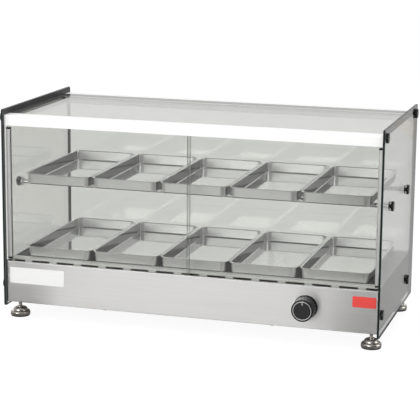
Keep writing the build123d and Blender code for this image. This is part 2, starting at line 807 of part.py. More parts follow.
def make_pan(label, x, front, rest_z):
    """Press one pan whose rim starts at the given front line and whose floor is at rest_z."""
    rim_plane = Plane(origin=(x, front + pan_length / 2, rest_z + pan_height))
    inner_inset = pan_rim + pan_wall
    rim_inset = pan_rim + pan_wall / 2
    with BuildPart() as pan:
        add(pan_form(rim_plane, pan_rim, pan_height))
        add(pan_form(rim_plane, inner_inset, pan_height - pan_wall), mode=Mode.SUBTRACT)
        with BuildSketch(rim_plane) as rim:
            RectangleRounded(pan_width, pan_length, pan_corner)
            mouth_width = pan_width - 2 * rim_inset
            mouth_length = pan_length - 2 * rim_inset
            RectangleRounded(mouth_width, mouth_length, pan_corner - rim_inset, mode=Mode.SUBTRACT)
        extrude(amount=-pan_wall)
    finish(pan, label)


for i in range(pan_count):
    pan_x = (i - (pan_count - 1) / 2) * pan_pitch
    make_pan(f"lower_pan_{i + 1}", pan_x, front_y + lower_pan_inset, deck_z + pan_rest_gap)
    make_pan(f"upper_pan_{i + 1}", pan_x, front_y + upper_pan_inset, rod_z + rod_diameter / 2 + pan_rest_gap)

# Thermostat behind the front panel, and the knob, ring, bezel and shaft in front of it
knob_plane = Plane(origin=(knob_x, front_y, knob_z), x_dir=(1, 0, 0), z_dir=(0, -1, 0))
neck_length = sheet + bezel_thickness - neck_setback
with BuildPart() as thermostat:
    with BuildSketch(knob_plane.offset(-sheet)) as case_face:
        RectangleRounded(thermostat_width, thermostat_width, thermostat_corner)
    extrude(amount=-thermostat_depth)
    with BuildSketch(knob_plane.offset(-sheet)) as neck:
        Circle(neck_diameter / 2)
    extrude(amount=neck_length)
    with BuildSketch(knob_plane.offset(neck_length - sheet)) as bore:
        Circle(shaft_diameter / 2 + shaft_fit)
    extrude(amount=-shaft_bore_depth, mode=Mode.SUBTRACT)
finish(thermostat, "thermostat")

with BuildPart() as knob_bezel:
    with BuildSketch(knob_plane) as disc:
        Circle(bezel_diameter / 2)
    extrude(amount=bezel_thickness)
    fillet(knob_bezel.edges().group_by(Axis.Y)[0], radius=bezel_edge)
    with BuildSketch(knob_plane) as hole:
        Circle(neck_hole_diameter / 2)
    extrude(amount=bezel_thickness, mode=Mode.SUBTRACT)
finish(knob_bezel, "knob_bezel")

knob_back = bezel_thickness + knob_running_gap
knob_length = knob_reach - knob_back
ring_outer = ring_mean_diameter / 2 + ring_width / 2
with BuildPart() as thermostat_knob:
    with BuildSketch(knob_plane.offset(knob_back)) as disc:
        Circle(knob_diameter / 2)
    extrude(amount=knob_length, taper=knob_taper)
    fillet(thermostat_knob.edges().group_by(Axis.Y)[0], radius=knob_edge)
    with BuildSketch(knob_plane.offset(knob_back + grip_start)) as grips:
        with PolarLocations(knob_diameter / 2 - grip_depth + grip_radius, grip_count):
            Circle(grip_radius)
    extrude(amount=knob_length - grip_start, mode=Mode.SUBTRACT)
    with BuildSketch(knob_plane.offset(knob_reach)) as face_recess:
        Circle(ring_outer)
    extrude(amount=-knob_face_recess, mode=Mode.SUBTRACT)
    with BuildSketch(knob_plane.offset(knob_back)) as socket:
        Circle(shaft_diameter / 2 + shaft_fit)
    extrude(amount=knob_socket_depth, mode=Mode.SUBTRACT)
finish(thermostat_knob, "thermostat_knob")

with BuildPart() as knob_ring:
    with BuildSketch(knob_plane.offset(knob_reach - knob_face_recess)) as ring:
        Circle(ring_outer)
        Circle(ring_outer - ring_width, mode=Mode.SUBTRACT)
        with Locations((0, ring_outer - ring_width / 2 - pointer_length / 2)):
            Rectangle(pointer_width, pointer_length)
    extrude(amount=knob_face_recess)
finish(knob_ring, "knob_ring")

shaft_front = knob_back + knob_socket_depth - shaft_tip_gap
shaft_rear = neck_length - sheet - shaft_bore_depth + shaft_tip_gap
with BuildPart() as thermostat_shaft:
    with BuildSketch(knob_plane.offset(shaft_rear)) as section:
        Circle(shaft_diameter / 2)
    extrude(amount=shaft_front - shaft_rear)
finish(thermostat_shaft, "thermostat_shaft")

# Sensing bulb in the heat shield, with its thin tube bent round to the back of the thermostat
thermostat_back = front_y + sheet + thermostat_depth
bulb_end = (knob_x - capillary_lead, shield_mid_y, bulb_z)
with BuildPart() as thermostat_bulb:
    with BuildSketch(Plane(origin=bulb_end, z_dir=(-1, 0, 0))) as bulb:
        Circle(bulb_diameter / 2)
    extrude(amount=bulb_length)
    with BuildLine() as route:
        FilletPolyline(
            bulb_end,
            (knob_x, shield_mid_y, bulb_z),
            (knob_x, shield_front - capillary_drop, bulb_z),
            (knob_x, shield_front - capillary_drop, knob_z),
            (knob_x, thermostat_back, knob_z),
            radius=capillary_radius,
        )
    with BuildSketch(Plane(origin=bulb_end, z_dir=(1, 0, 0))) as tube:
        Circle(capillary_diameter / 2)
    sweep()
finish(thermostat_bulb, "thermostat_bulb")

# Terminal block on the bottom cover, next to the cable gland
block_z = base_bottom + 2 * sheet
block_y = rear_y - terminal_inset
way_pitch = terminal_length / terminal_ways
way_places = [(gland_x + (i - (terminal_ways - 1) / 2) * way_pitch, block_y) for i in range(terminal_ways)]
with BuildPart() as terminal_block:
    with BuildSketch(Plane.XY.offset(block_z)) as foot_print:
        with Locations((gland_x, block_y)):
            RectangleRounded(terminal_length, terminal_width, terminal_corner)
    extrude(amount=terminal_height)
    with BuildSketch(Plane.XY.offset(block_z + terminal_height)) as screw_wells:
        with Locations(*way_places):
            Circle(terminal_well_diameter / 2)
    extrude(amount=-terminal_well_depth, mode=Mode.SUBTRACT)
finish(terminal_block, "terminal_block")

# Cable gland through the rear panel, with its nut inside; no lead is fitted
gland_plane = Plane(origin=(gland_x, rear_y, gland_z), x_dir=(-1, 0, 0), z_dir=(0, 1, 0))
with BuildPart() as cable_gland:
    with BuildSketch(gland_plane) as hexagon:
        RegularPolygon(gland_hex / 2, 6, major_radius=False)
    extrude(amount=gland_hex_height)
    with BuildSketch(gland_plane.offset(gland_hex_height)) as dome:
        Circle(gland_dome_diameter / 2)
    extrude(amount=gland_reach - gland_hex_height)
    fillet(cable_gland.edges().group_by(Axis.Y)[-1], radius=gland_edge)
    with BuildSketch(gland_plane) as thread:
        Circle(gland_thread_diameter / 2)
    extrude(amount=-gland_thread_length)
    with BuildSketch(gland_plane.offset(gland_reach)) as bore:
        Circle(gland_bore / 2)
    extrude(amount=-(gland_reach + gland_thread_length), mode=Mode.SUBTRACT)
finish(cable_gland, "cable_gland")

with BuildPart() as gland_nut:
    with BuildSketch(gland_plane.offset(-sheet)) as hexagon:
        RegularPolygon(gland_hex / 2, 6, major_radius=False)
        Circle(gland_thread_diameter / 2 + thread_gap, mode=Mode.SUBTRACT)
    extrude(amount=-gland_nut_thickness)
finish(gland_nut, "gland_nut")

# Levelling feet: a bright bell on a threaded stem, over a rubber pad, with a nut in the flange
stem_top = base_bottom + foot_nut_length + foot_stem_spare
with BuildPart() as foot_nuts:
    with BuildSketch(Plane.XY.offset(base_bottom - foot_nut_collar_height)) as collars:
        with Locations(*foot_places):
            Circle(foot_nut_collar / 2)
            Circle(foot_stem_diameter / 2 + foot_stem_fit, mode=Mode.SUBTRACT)
    extrude(amount=foot_nut_collar_height)
    with BuildSketch(Plane.XY.offset(base_bottom)) as barrels:
        with Locations(*foot_places):
            Circle(foot_nut_diameter / 2)
            Circle(foot_stem_diameter / 2 + foot_stem_fit, mode=Mode.SUBTRACT)
    extrude(amount=foot_nut_length)
finish(foot_nuts, "foot_nuts")

foot_names = ("front_left", "rear_left", "front_right", "rear_right")
for (x, y), name in zip(foot_places, foot_names):
    foot_plane = Plane(origin=(x, y, 0), x_dir=(1, 0, 0), z_dir=(0, -1, 0))
    with BuildPart() as foot:
        with BuildSketch(foot_plane) as half_section:
            with BuildLine() as outline:
                rim = Polyline(
                    (0, foot_pad_height),
                    (foot_bell_diameter / 2, foot_pad_height),
                    (foot_bell_diameter / 2, foot_pad_height + foot_rim_height),
                )
                foot_shoulder = (foot_shoulder_diameter / 2, foot_shoulder_height)
                shoulder = SagittaArc(rim @ 1, foot_shoulder, -foot_bulge)
                crown = SagittaArc(
                    (foot_shoulder_diameter / 2 - foot_step, foot_shoulder_height),
                    (foot_crown_diameter / 2, foot_crown_height),
                    -foot_bulge,
                )
                Line(shoulder @ 1, crown @ 0)
                Polyline(
                    crown @ 1,
                    (foot_crown_diameter / 2, foot_bell_height),
                    (foot_stem_diameter / 2, foot_bell_height),
                    (foot_stem_diameter / 2, stem_top),
                    (0, stem_top),
                    (0, foot_pad_height),
                )
            make_face()
        revolve(axis=Axis((x, y, 0), (0, 0, 1)))
    finish(foot, f"{name}_foot")

    with BuildPart() as foot_pad:
        with BuildSketch(Plane.XY) as disc:
            with Locations((x, y)):
                Circle(foot_pad_diameter / 2)
        extrude(amount=foot_pad_height)
    finish(foot_pad, f"{name}_foot_pad")
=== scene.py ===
"""Looks, light and camera of the heated display case.

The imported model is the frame. Flat folded pieces keep their own solids and get a material; pressed,
turned and moulded pieces are made again here as smooth surfaces on the same places. Metres; X to the
right, Y to the rear, Z up.
"""

import json
import math

import bpy
import numpy as np
from mathutils import Matrix, Vector


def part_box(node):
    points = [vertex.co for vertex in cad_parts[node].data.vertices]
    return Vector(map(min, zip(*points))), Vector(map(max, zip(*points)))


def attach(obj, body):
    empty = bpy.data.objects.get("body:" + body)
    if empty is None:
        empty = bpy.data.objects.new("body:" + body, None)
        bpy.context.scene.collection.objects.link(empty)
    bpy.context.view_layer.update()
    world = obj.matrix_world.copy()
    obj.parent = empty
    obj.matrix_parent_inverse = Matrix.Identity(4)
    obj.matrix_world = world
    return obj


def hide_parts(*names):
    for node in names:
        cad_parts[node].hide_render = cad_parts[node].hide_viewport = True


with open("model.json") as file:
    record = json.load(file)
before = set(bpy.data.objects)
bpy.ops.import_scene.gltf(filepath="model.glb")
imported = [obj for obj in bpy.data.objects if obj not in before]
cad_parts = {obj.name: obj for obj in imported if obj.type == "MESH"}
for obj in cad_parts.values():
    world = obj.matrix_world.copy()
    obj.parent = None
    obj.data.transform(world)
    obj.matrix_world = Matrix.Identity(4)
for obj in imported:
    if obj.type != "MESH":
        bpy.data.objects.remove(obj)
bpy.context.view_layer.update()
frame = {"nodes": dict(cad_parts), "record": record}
scene = bpy.context.scene

# Sizes in millimetres are written with this
MM = 0.001

# Camera, fitted to the square corners of the case
CAMERA_PLACE = Vector((0.9971, -3.36475, 0.992))
CAMERA_LENS = 136.67
CAMERA_SENSOR = 36
CAMERA_YAW = math.radians(16.549)
CAMERA_PITCH = math.radians(12.107)
CAMERA_ROLL = math.radians(0.523)

# Pans, as pressed. The flat of the floor starts a little way past the centre of its arc, and its
# rings lie this far inside the rim
PAN_WALL = 0.9 * MM
PAN_RIM = 4 * MM
PAN_CORNER = 19 * MM
PAN_LEAST_CORNER = 3 * MM
PAN_TAPER = math.radians(3)
PAN_FLOOR_RADIUS = 3.5 * MM
PAN_LIP_RADIUS = 1.5 * MM
PAN_FLOOR_START = 1.2 * MM
PAN_FLOOR_RINGS = np.array((70, 55, 40, 26, 18)) * MM

# Knob, its grips, the ring and pointer in its face, and the bezel behind it. The bevel round the
# recess is a distance out and a distance down. The dish is half as deep at a share of the recess's
# radius, and full at its centre. A support ring lies this close to the rounded foot; the grips reach
# their depth within a short step, and keep clear of the recess
KNOB_BORE = 4 * MM
KNOB_FOOT_EDGE = 0.5 * MM
KNOB_FOOT_SUPPORT = 0.1 * MM
KNOB_EDGE = 1.6 * MM
KNOB_TAPER = math.radians(1.0)
KNOB_RECESS = 1.0 * MM
KNOB_RECESS_BEVEL = (0.3 * MM, 0.2 * MM)
KNOB_DISH = 0.25 * MM
KNOB_DISH_SHARE = 0.6
KNOB_CENTRE = 1 * MM
GRIP_COUNT = 24
GRIP_POINTS = 14
GRIP_DEPTH = 0.9 * MM
GRIP_RADIUS = 1.6 * MM
GRIP_START = 6 * MM
GRIP_STEP = 0.05 * MM
GRIP_CLEARANCE = 0.5 * MM
RING_WIDTH = 1.3 * MM
RING_EDGE = 0.3 * MM
POINTER_LENGTH = 7.5 * MM
POINTER_WIDTH = 1.6 * MM
POINTER_CORNER = 0.4 * MM
POINTER_BEVEL = 0.25 * MM
POINTER_TIP_SHARE = 0.75
BEZEL_BORE = 5.2 * MM
BEZEL_EDGE = 1 * MM

# Feet: the bell from its rim up, its stem, and the pad. A pair is a distance in from the side of the
# bell, or for the crown a radius, and a height over the rim; the step goes on from the shoulder
FOOT_UNDERSIDE = 2 * MM
FOOT_EDGE = 0.5 * MM
FOOT_BAND = 3.8 * MM
FOOT_GROOVE = (0.05 * MM, 4.2 * MM)
FOOT_SHOULDER = (4.5 * MM, 10 * MM)
FOOT_SHOULDER_FULLNESS = 1.5 * MM
FOOT_STEP = (1.2 * MM, 0.1 * MM)
FOOT_CROWN = (6.5 * MM, 17.5 * MM)
FOOT_CROWN_FULLNESS = 2.8 * MM
FOOT_COLLAR = 18.6 * MM
FOOT_COLLAR_EDGE = 0.4 * MM
STEM_RADIUS = 4 * MM
STEM_TOP = 53 * MM
THREAD_DEPTH = 0.25 * MM
THREAD_PITCH = 1.25 * MM
STEM_RINGS = 140
PAD_EDGE = 0.6 * MM

# Caps, shelf bars and washers. The skirt of a cap starts a little way in and ends a little way up,
# and the rings of its crown run from one share of its radius to another, in a given number
CAP_CROWN = 0.5 * MM
CAP_CROWN_SHARES = (0.9, 0.06, 8)
CAP_EDGE = 1.8 * MM
CAP_SKIRT = (0.2 * MM, 0.3 * MM)
ROD_CHAMFER = 0.5 * MM
WASHER_EDGE = 0.5 * MM
WASHER_BORE = 2.6 * MM

# A gap that keeps a made surface off the face it stands on
SEAT = 0.01 * MM

# Solids of one node that lie further apart than this are separate
ISLAND_REACH = 26 * MM

# Bare plate and bare film on the front panel: left, right, bottom and top edges
WHITE_PLATE = (-413 * MM, -284 * MM, 82 * MM, 118 * MM)
RED_FILM = (365 * MM, 416 * MM, 94 * MM, 117.6 * MM)
PLATE_THICKNESS = 0.4 * MM
PLATE_CORNER = 2 * MM
PLATE_BEVEL = 0.15 * MM

# Noise lies mostly between these two values, which stand for the ends of a range of roughness
NOISE_REACH = (0.3, 0.7)

# Stainless sheet: its colour and how far the grain strays from it, the scale of the grain along and
# across itself, the painted shade that darkens the side panels, and where the painted light of the
# front panel's door channel starts, with its pale colour
SHEET_COLOUR = (0.66, 0.655, 0.645)
SHEET_SPREAD = 0.07
SHEET_ROUGHNESS = (0.28, 0.42)
GRAIN_ALONG = 5.0
GRAIN_ACROSS = 1400.0
SIDE_PAINTED_SHADE = 0.5
PAINTED_LIGHT_START = 5 * MM
PAINTED_CHANNEL_LIGHT = (0.98, 0.98, 0.97)

# Clouds of wear on smooth steel, and the fine texture of coatings: how light and how dark they make
# a colour, and how deep or how rough they are
CLOUD_SCALE = 90.0
CLOUD_LIGHT = 1.06
CLOUD_DARK = 0.92
CLOUD_RELIEF = 0.01 * MM
FINE_LIGHT = 1.04
FINE_LIFT = 0.002
FINE_DARK = 0.95
FINE_SPREAD = 0.04
LEAST_ROUGHNESS = 0.03

# Pressed pans. A face is told by its normal: outer ones look down, bends lean, end walls look along Y
# and side walls along X. Then the strength of what pressing leaves on them, and the painted dark
# reflection on bends and side walls: its share, its colour, and the painted side shade of each tier
PAN_STEEL = (0.97, 0.97, 0.965)
PAN_ROUGHNESS = 0.06
OUTER_BELOW = -0.02
BEND_LEAN = (0.15, 0.9)
BEND_ASIDE = 0.3
END_WALL = 0.75
SIDE_WALL = 0.92
SCORE_SCALES = (12.0, 12.0, 900.0)
SCORE_SHARE = 0.5
WALL_DULLNESS = 0.32
WALL_METAL = 0.78
PAINTED_DARK_SHARE = 0.75
PAINTED_DARK_REFLECTION = (0.14, 0.14, 0.14)
LOWER_SIDE_SHADE = 0.35
UPPER_SIDE_SHADE = 1.0

# Glass: faces look along the pane's axis, arrises lean, cut edges look across it
GLASS_IOR = 1.5
GLASS_TINT = (0.873, 0.877, 0.864)
FACE_ABOVE = 0.9
ARRIS_ABOVE = 0.5
ARRIS = (0.10, 0.12, 0.115)
DARK_EDGE = (0.006, 0.010, 0.009)
TOP_EDGE = (0.2, 0.21, 0.2)
SLIDING_EDGE = (0.30, 0.31, 0.30)
BORDER_WIDTH = 20 * MM
FRONT_BORDER = 8 * MM
BORDER_INK = (0.045, 0.045, 0.047)

# Room seen in mirrors. Its walls have a level at each heading in degrees, 0 to the rear and 90 to the
# right, kept in a colour ramp as a share of the top level. A bright card stands in front and a window
# is open high up behind. Heights are the z of a direction and depths its y, both between -1 and 1
ROOM = (
    (-180, 1.1), (-140, 1.0), (-120, 0.4), (-90, 0.4), (-40, 0.85), (0, 0.85), (8, 0.1), (45, 0.1),
    (62, 0.3), (72, 1.8), (100, 1.8), (110, 0.15), (168, 0.15), (174, 1.1), (180, 1.1),
)
ROOM_TOP = 2.0
CARD = 3.2
CARD_HEADINGS = (-176, -170, -154, -148)
CARD_HEIGHTS = (0.05, 0.09, 0.33, 0.42)
WINDOW = 0.7
WINDOW_DEPTHS = (0.6, 0.8)
WINDOW_HEIGHTS = (0.24, 0.28)
CEILING = 0.45
CEILING_RISE = (0.35, 0.6)

# Level of the room for matt surfaces, from in front to behind
MATT_DEPTHS = (-0.7, 0.2)
MATT_AHEAD = 1.15
MATT_BEHIND = 0.55

# Floor as mirrors see it: a pool of light, its dim ends with their bounds across the front panel, the
# y that the left end reaches to, the part behind the panel's face, the shade below the case, and the
# warm colour of the left end
FLOOR_POOL = 0.79
FLOOR_ENDS = 0.08
FLOOR_LEFT_END = (-0.35, -0.30)
FLOOR_RIGHT_END = (0.27, 0.37)
FLOOR_NEAR = -0.85
FLOOR_BEHIND = 0.62
FLOOR_SHADE = 0.8
FLOOR_SHADE_HALF = (0.447, 0.2)
FLOOR_WARM = (1.0, 0.94, 0.88)

# Floor as the camera sees it: its own even white, the share of that, the plain matt rest, and how far
# it reaches
FLOOR_WHITE = 1.08
FLOOR_EVEN_SHARE = 0.86
FLOOR_MATT = (0.85, 0.85, 0.85)
FLOOR_REACH = 9

# Lamps: name, place, width and height, power
LAMPS = (
    ("overhead_softbox", (0.2, -0.4, 2.6), (2.6, 2.0), 22),
    ("front_softbox", (-1.0, -3.4, 1.5), (2.0, 1.6), 20),
)
LAMP_TARGET = (0, 0, 0.2)

# Edges sharper than this stay crisp on smooth pieces
CREASE = math.radians(32)


# Outlines

def arc(centre, radius, start, end, steps):
    """Arc points: centre plus radius times the cosine and sine of an angle that runs evenly from
    start to end, in degrees."""
    angle = np.radians(np.linspace(start, end, steps + 1))
    return np.column_stack((centre[0] + radius * np.cos(angle), centre[1] + radius * np.sin(angle)))


def bulge(first, last, sagitta, steps):
    """Arc points from first to last: the arc stands off the middle of its chord by the sagitta, to
    the left of the way, or to the right where the sagitta is negative. Its radius is (half chord
    squared + sagitta squared) over twice the sagitta."""
    first, last = np.array(first), np.array(last)
    chord = last - first
    half = np.linalg.norm(chord) / 2
    along = chord / (2 * half)
    left = np.array((-along[1], along[0])) * np.sign(sagitta)
    radius = (half ** 2 + sagitta ** 2) / (2 * abs(sagitta))
    centre = (first + last) / 2 - left * (radius - abs(sagitta))
    sweep = math.asin(half / radius)
    angle = np.linspace(-sweep, sweep, steps + 1)[:, None]
    return centre + radius * (left * np.cos(angle) + along * np.sin(angle))


def rounded_rectangle(half_x, half_y, corner, steps=10, support=2 * MM):
    """Closed outline, anticlockwise: four quarter arcs of the corner radius about the corner centres,
    with a support point on each straight side just after and just before its arcs."""
    quarters = []
    for turn, (sign_x, sign_y) in enumerate(((1, 1), (-1, 1), (-1, -1), (1, -1))):
        centre = (sign_x * (half_x - corner), sign_y * (half_y - corner))
        quarter = arc(centre, corner, 90 * turn, 90 * turn + 90, steps)
        way_in = quarter[0] - (quarter[0] - centre)[::-1] * (-1, 1) / corner * support
        way_out = quarter[-1] + (quarter[-1] - centre)[::-1] * (-1, 1) / corner * support
        quarters.append(np.vstack((way_in, quarter, way_out)))
    return np.vstack(quarters)


# Surfaces

def skin(name, rings, looped=False):
    """Closed skin over a stack of rings, an array of rings by points by xyz. A quad joins each point
    to the next on its ring and to the same two on the next ring. A looped stack ends where it starts;
    an open one is closed by a fan from the middle of its first and last ring. The faces are turned
    outwards by the sign of the volume inside, a sixth of the summed triple products of the triangles."""
    count, around = rings.shape[:2]
    index = np.arange(count * around).reshape(count, around)
    lower, upper = index, np.roll(index, -1, axis=0)
    if not looped:
        lower, upper = lower[:-1], upper[:-1]
    quads = np.stack(
        (lower, np.roll(lower, -1, axis=1), np.roll(upper, -1, axis=1), upper), axis=-1
    ).reshape(-1, 4)
    points = rings.reshape(-1, 3)
    triangles = np.vstack((quads[:, (0, 1, 2)], quads[:, (0, 2, 3)]))
    faces = quads.tolist()
    if not looped:
        points = np.vstack((points, rings[0].mean(0), rings[-1].mean(0)))
        first = np.column_stack((np.roll(index[0], -1), index[0], np.full(around, len(points) - 2)))
        last = np.column_stack((index[-1], np.roll(index[-1], -1), np.full(around, len(points) - 1)))
        fans = np.vstack((first, last))
        triangles = np.vstack((triangles, fans))
        faces += fans.tolist()
    a, b, c = (points[triangles[:, k]] for k in range(3))
    if np.einsum("ij,ij->i", a, np.cross(b, c)).sum() < 0:
        faces = [face[::-1] for face in faces]
    return make_object(name, points, faces)


def make_object(name, points, faces):
    """Object at the origin with this mesh, smooth but for its creases."""
    mesh = bpy.data.meshes.new(name)
    mesh.from_pydata(points.tolist(), [], faces)
    mesh.shade_smooth()
    mesh.set_sharp_from_angle(angle=CREASE)
    piece = bpy.data.objects.new(name, mesh)
    scene.collection.objects.link(piece)
    return piece


def turned_rings(profile, foot, axis, around):
    """Rings of a turned shape: each profile point (radius, height) goes round the axis as foot plus
    height times the axis plus radius times a unit vector that turns once."""
    axis = Vector(axis).normalized()
    side = axis.orthogonal().normalized()
    other = axis.cross(side)
    angle = np.linspace(0, 2 * math.pi, around, endpoint=False)
    spoke = np.outer(np.cos(angle), side) + np.outer(np.sin(angle), other)
    radius, height = np.asarray(profile).T[:, :, None, None]
    return np.array(foot) + height * np.array(axis) + radius * spoke


def turned(name, profile, foot, axis, around=48, looped=False):
    """Turned piece: the skin over its turned rings."""
    return skin(name, turned_rings(profile, foot, axis, around), looped)


def joined(name, pieces):
    """One object made of several pieces of the same kind."""
    points, faces, start = [], [], 0
    for piece in pieces:
        mesh = piece.data
        place = np.empty(len(mesh.vertices) * 3)
        mesh.vertices.foreach_get("co", place)
        points.append(place.reshape(-1, 3))
        faces += [[start + v for v in polygon.vertices] for polygon in mesh.polygons]
        start += len(mesh.vertices)
        bpy.data.objects.remove(piece)
    return make_object(name, np.vstack(points), faces)


# Material nodes

def new_material(name):
    """Empty node material and its output node."""
    material = bpy.data.materials.new(name)
    material.use_nodes = True
    material.node_tree.nodes.clear()
    output = material.node_tree.nodes.new("ShaderNodeOutputMaterial")
    return material, material.node_tree, output


def add_node(tree, kind, **values):
    """Node of this kind; a value goes to the input of that name, or to the property of that name."""
    made = tree.nodes.new("ShaderNode" + kind)
    for key, value in values.items():
        if hasattr(made, key):
            setattr(made, key, value)
        else:
            made.inputs[key.replace("_", " ")].default_value = value
    return made


def feed(tree, target, value):
    """Link a socket to an input, or set the input to a number or to a colour of three numbers."""
    if isinstance(value, tuple):
        target.default_value = (*value, 1)
    elif isinstance(value, (int, float)):
        target.default_value = value
    else:
        tree.links.new(value, target)


def principled(tree, colour, roughness, metallic=0.0, **values):
    """Principled shader with these constants. A link made later takes the place of its constant."""
    shader = add_node(tree, "BsdfPrincipled", Roughness=roughness, Metallic=metallic, **values)
    feed(tree, shader.inputs["Base Color"], colour)
    return shader


def stretched_noise(tree, stretch, detail=3.0, roughness=0.55):
    """Noise on the object's own coordinates, with a scale for each axis: small along the grain."""
    place = add_node(tree, "TexCoord")
    mapping = add_node(tree, "Mapping", Scale=stretch)
    noise = add_node(tree, "TexNoise", Scale=1.0, Detail=detail, Roughness=roughness)
    tree.links.new(place.outputs["Object"], mapping.inputs["Vector"])
    tree.links.new(mapping.outputs["Vector"], noise.inputs["Vector"])
    return noise.outputs["Fac"]


def map_range(tree, value, low, high, to_low, to_high):
    """Value carried from one range to another, held at its ends."""
    node = add_node(tree, "MapRange", From_Min=low, From_Max=high, To_Min=to_low, To_Max=to_high)
    tree.links.new(value, node.inputs["Value"])
    return node.outputs["Result"]


def math_node(tree, operation, first, *others):
    """Arithmetic on sockets or numbers: on the first alone, or on all of them from left to right."""
    result = first
    for other in others or (None,):
        node = add_node(tree, "Math", operation=operation)
        feed(tree, node.inputs[0], result)
        if other is not None:
            feed(tree, node.inputs[1], other)
        result = node.outputs["Value"]
    return result


def object_place(tree):
    """The x, y and z of the object's own coordinates."""
    place = add_node(tree, "SeparateXYZ")
    tree.links.new(add_node(tree, "TexCoord").outputs["Object"], place.inputs[0])
    return place.outputs


def face_normal(tree):
    """The x, y and z of the true normal of a face."""
    normal = add_node(tree, "SeparateXYZ")
    tree.links.new(add_node(tree, "NewGeometry").outputs["True Normal"], normal.inputs[0])
    return normal.outputs


def mix_numbers(tree, factor, first, second):
    """Number between two, by a factor."""
    node = add_node(tree, "Mix", data_type="FLOAT")
    for socket, value in zip((node.inputs[0], node.inputs[2], node.inputs[3]), (factor, first, second)):
        feed(tree, socket, value)
    return node.outputs[0]


def mix_colours(tree, factor, first, second):
    """Colour between two, by a factor."""
    node = add_node(tree, "Mix", data_type="RGBA")
    for socket, value in zip((node.inputs[0], node.inputs[6], node.inputs[7]), (factor, first, second)):
        feed(tree, socket, value)
    return node.outputs[2]


def mix_shaders(tree, factor, first, second):
    """Shader between two, by a factor."""
    node = add_node(tree, "MixShader")
    for socket, value in zip(node.inputs, (factor, first, second)):
        feed(tree, socket, value)
    return node.outputs[0]


def add_bump(tree, shader, height, distance, strength=1.0):
    """Bump from a height socket into the shader's normal."""
    bump = add_node(tree, "Bump", Distance=distance, Strength=strength)
    tree.links.new(height, bump.inputs["Height"])
    tree.links.new(bump.outputs["Normal"], shader.inputs["Normal"])


# Materials

def brushed_stainless(name, along, share=1.0, inner=None):
    """Stainless sheet with a fine grain along one axis, and highlights that spread across it. The
    share darkens it, as painted shade. Behind the y given as inner, the sheet turns pale and matt:
    painted light, so that the door channel looks lit."""
    material, tree, output = new_material(name)
    roughness = sum(SHEET_ROUGHNESS) / 2
    shader = principled(tree, SHEET_COLOUR, roughness, metallic=1.0, Anisotropic=0.55)
    stretch = tuple(GRAIN_ALONG if axis == along else GRAIN_ACROSS for axis in "XYZ")
    grain = stretched_noise(tree, stretch)
    # The share scales the colour: painted shade where it is below one
    dark = tuple(share * (value - SHEET_SPREAD) for value in SHEET_COLOUR)
    light = tuple(share * (value + SHEET_SPREAD) for value in SHEET_COLOUR)
    sheet = mix_colours(tree, grain, dark, light)
    if inner is not None:
        # Painted light: behind this y the sheet turns pale and matt, so the door channel looks lit
        painted_light_zone = map_range(tree, object_place(tree)["Y"], inner, inner + 1 * MM, 0.0, 1.0)
        tree.links.new(math_node(tree, "SUBTRACT", 1.0, painted_light_zone), shader.inputs["Metallic"])
        sheet = mix_colours(tree, painted_light_zone, sheet, PAINTED_CHANNEL_LIGHT)
    tree.links.new(sheet, shader.inputs["Base Color"])
    gloss = map_range(tree, grain, *NOISE_REACH, *SHEET_ROUGHNESS)
    tree.links.new(gloss, shader.inputs["Roughness"])
    tangent = add_node(tree, "Tangent", direction_type="RADIAL", axis=along)
    tree.links.new(tangent.outputs["Tangent"], shader.inputs["Tangent"])
    add_bump(tree, shader, grain, distance=0.02 * MM, strength=0.4)
    tree.links.new(shader.outputs[0], output.inputs["Surface"])
    return material


def pressed_marks(tree, metal, sheen, gloss, relief, painted_side_shade):
    """What pressing leaves on a tray: level scores in its relief, a dull outer side and dull end
    walls. Bends and side walls get painted dark reflection, the side walls by the painted side shade.
    The side walls alone are all metal; the rest scatters a little light."""
    scores = stretched_noise(tree, SCORE_SCALES, detail=2.0)
    relief = math_node(tree, "ADD", relief, math_node(tree, "MULTIPLY", scores, SCORE_SHARE))
    x, y, z = face_normal(tree)
    aside, along, lean = (math_node(tree, "ABSOLUTE", value) for value in (x, y, z))
    dull = math_node(
        tree, "MAXIMUM",
        math_node(tree, "LESS_THAN", z, OUTER_BELOW),
        math_node(tree, "GREATER_THAN", along, END_WALL),
    )
    gloss = math_node(tree, "ADD", gloss, math_node(tree, "MULTIPLY", dull, WALL_DULLNESS))
    bend = math_node(
        tree, "MULTIPLY",
        math_node(tree, "GREATER_THAN", lean, BEND_LEAN[0]),
        math_node(tree, "LESS_THAN", lean, BEND_LEAN[1]),
        math_node(tree, "LESS_THAN", aside, BEND_ASIDE),
    )
    side_wall = math_node(tree, "GREATER_THAN", aside, SIDE_WALL)
    tree.links.new(map_range(tree, side_wall, 0, 1, WALL_METAL, 1.0), metal)
    # Painted dark reflection: bends, and side walls by the painted side shade, go towards a dark grey
    painted_dark = math_node(tree, "MAXIMUM", bend, math_node(tree, "MULTIPLY", side_wall, painted_side_shade))
    sheen = mix_colours(tree, math_node(tree, "MULTIPLY", painted_dark, PAINTED_DARK_SHARE), sheen, PAINTED_DARK_REFLECTION)
    return sheen, gloss, relief


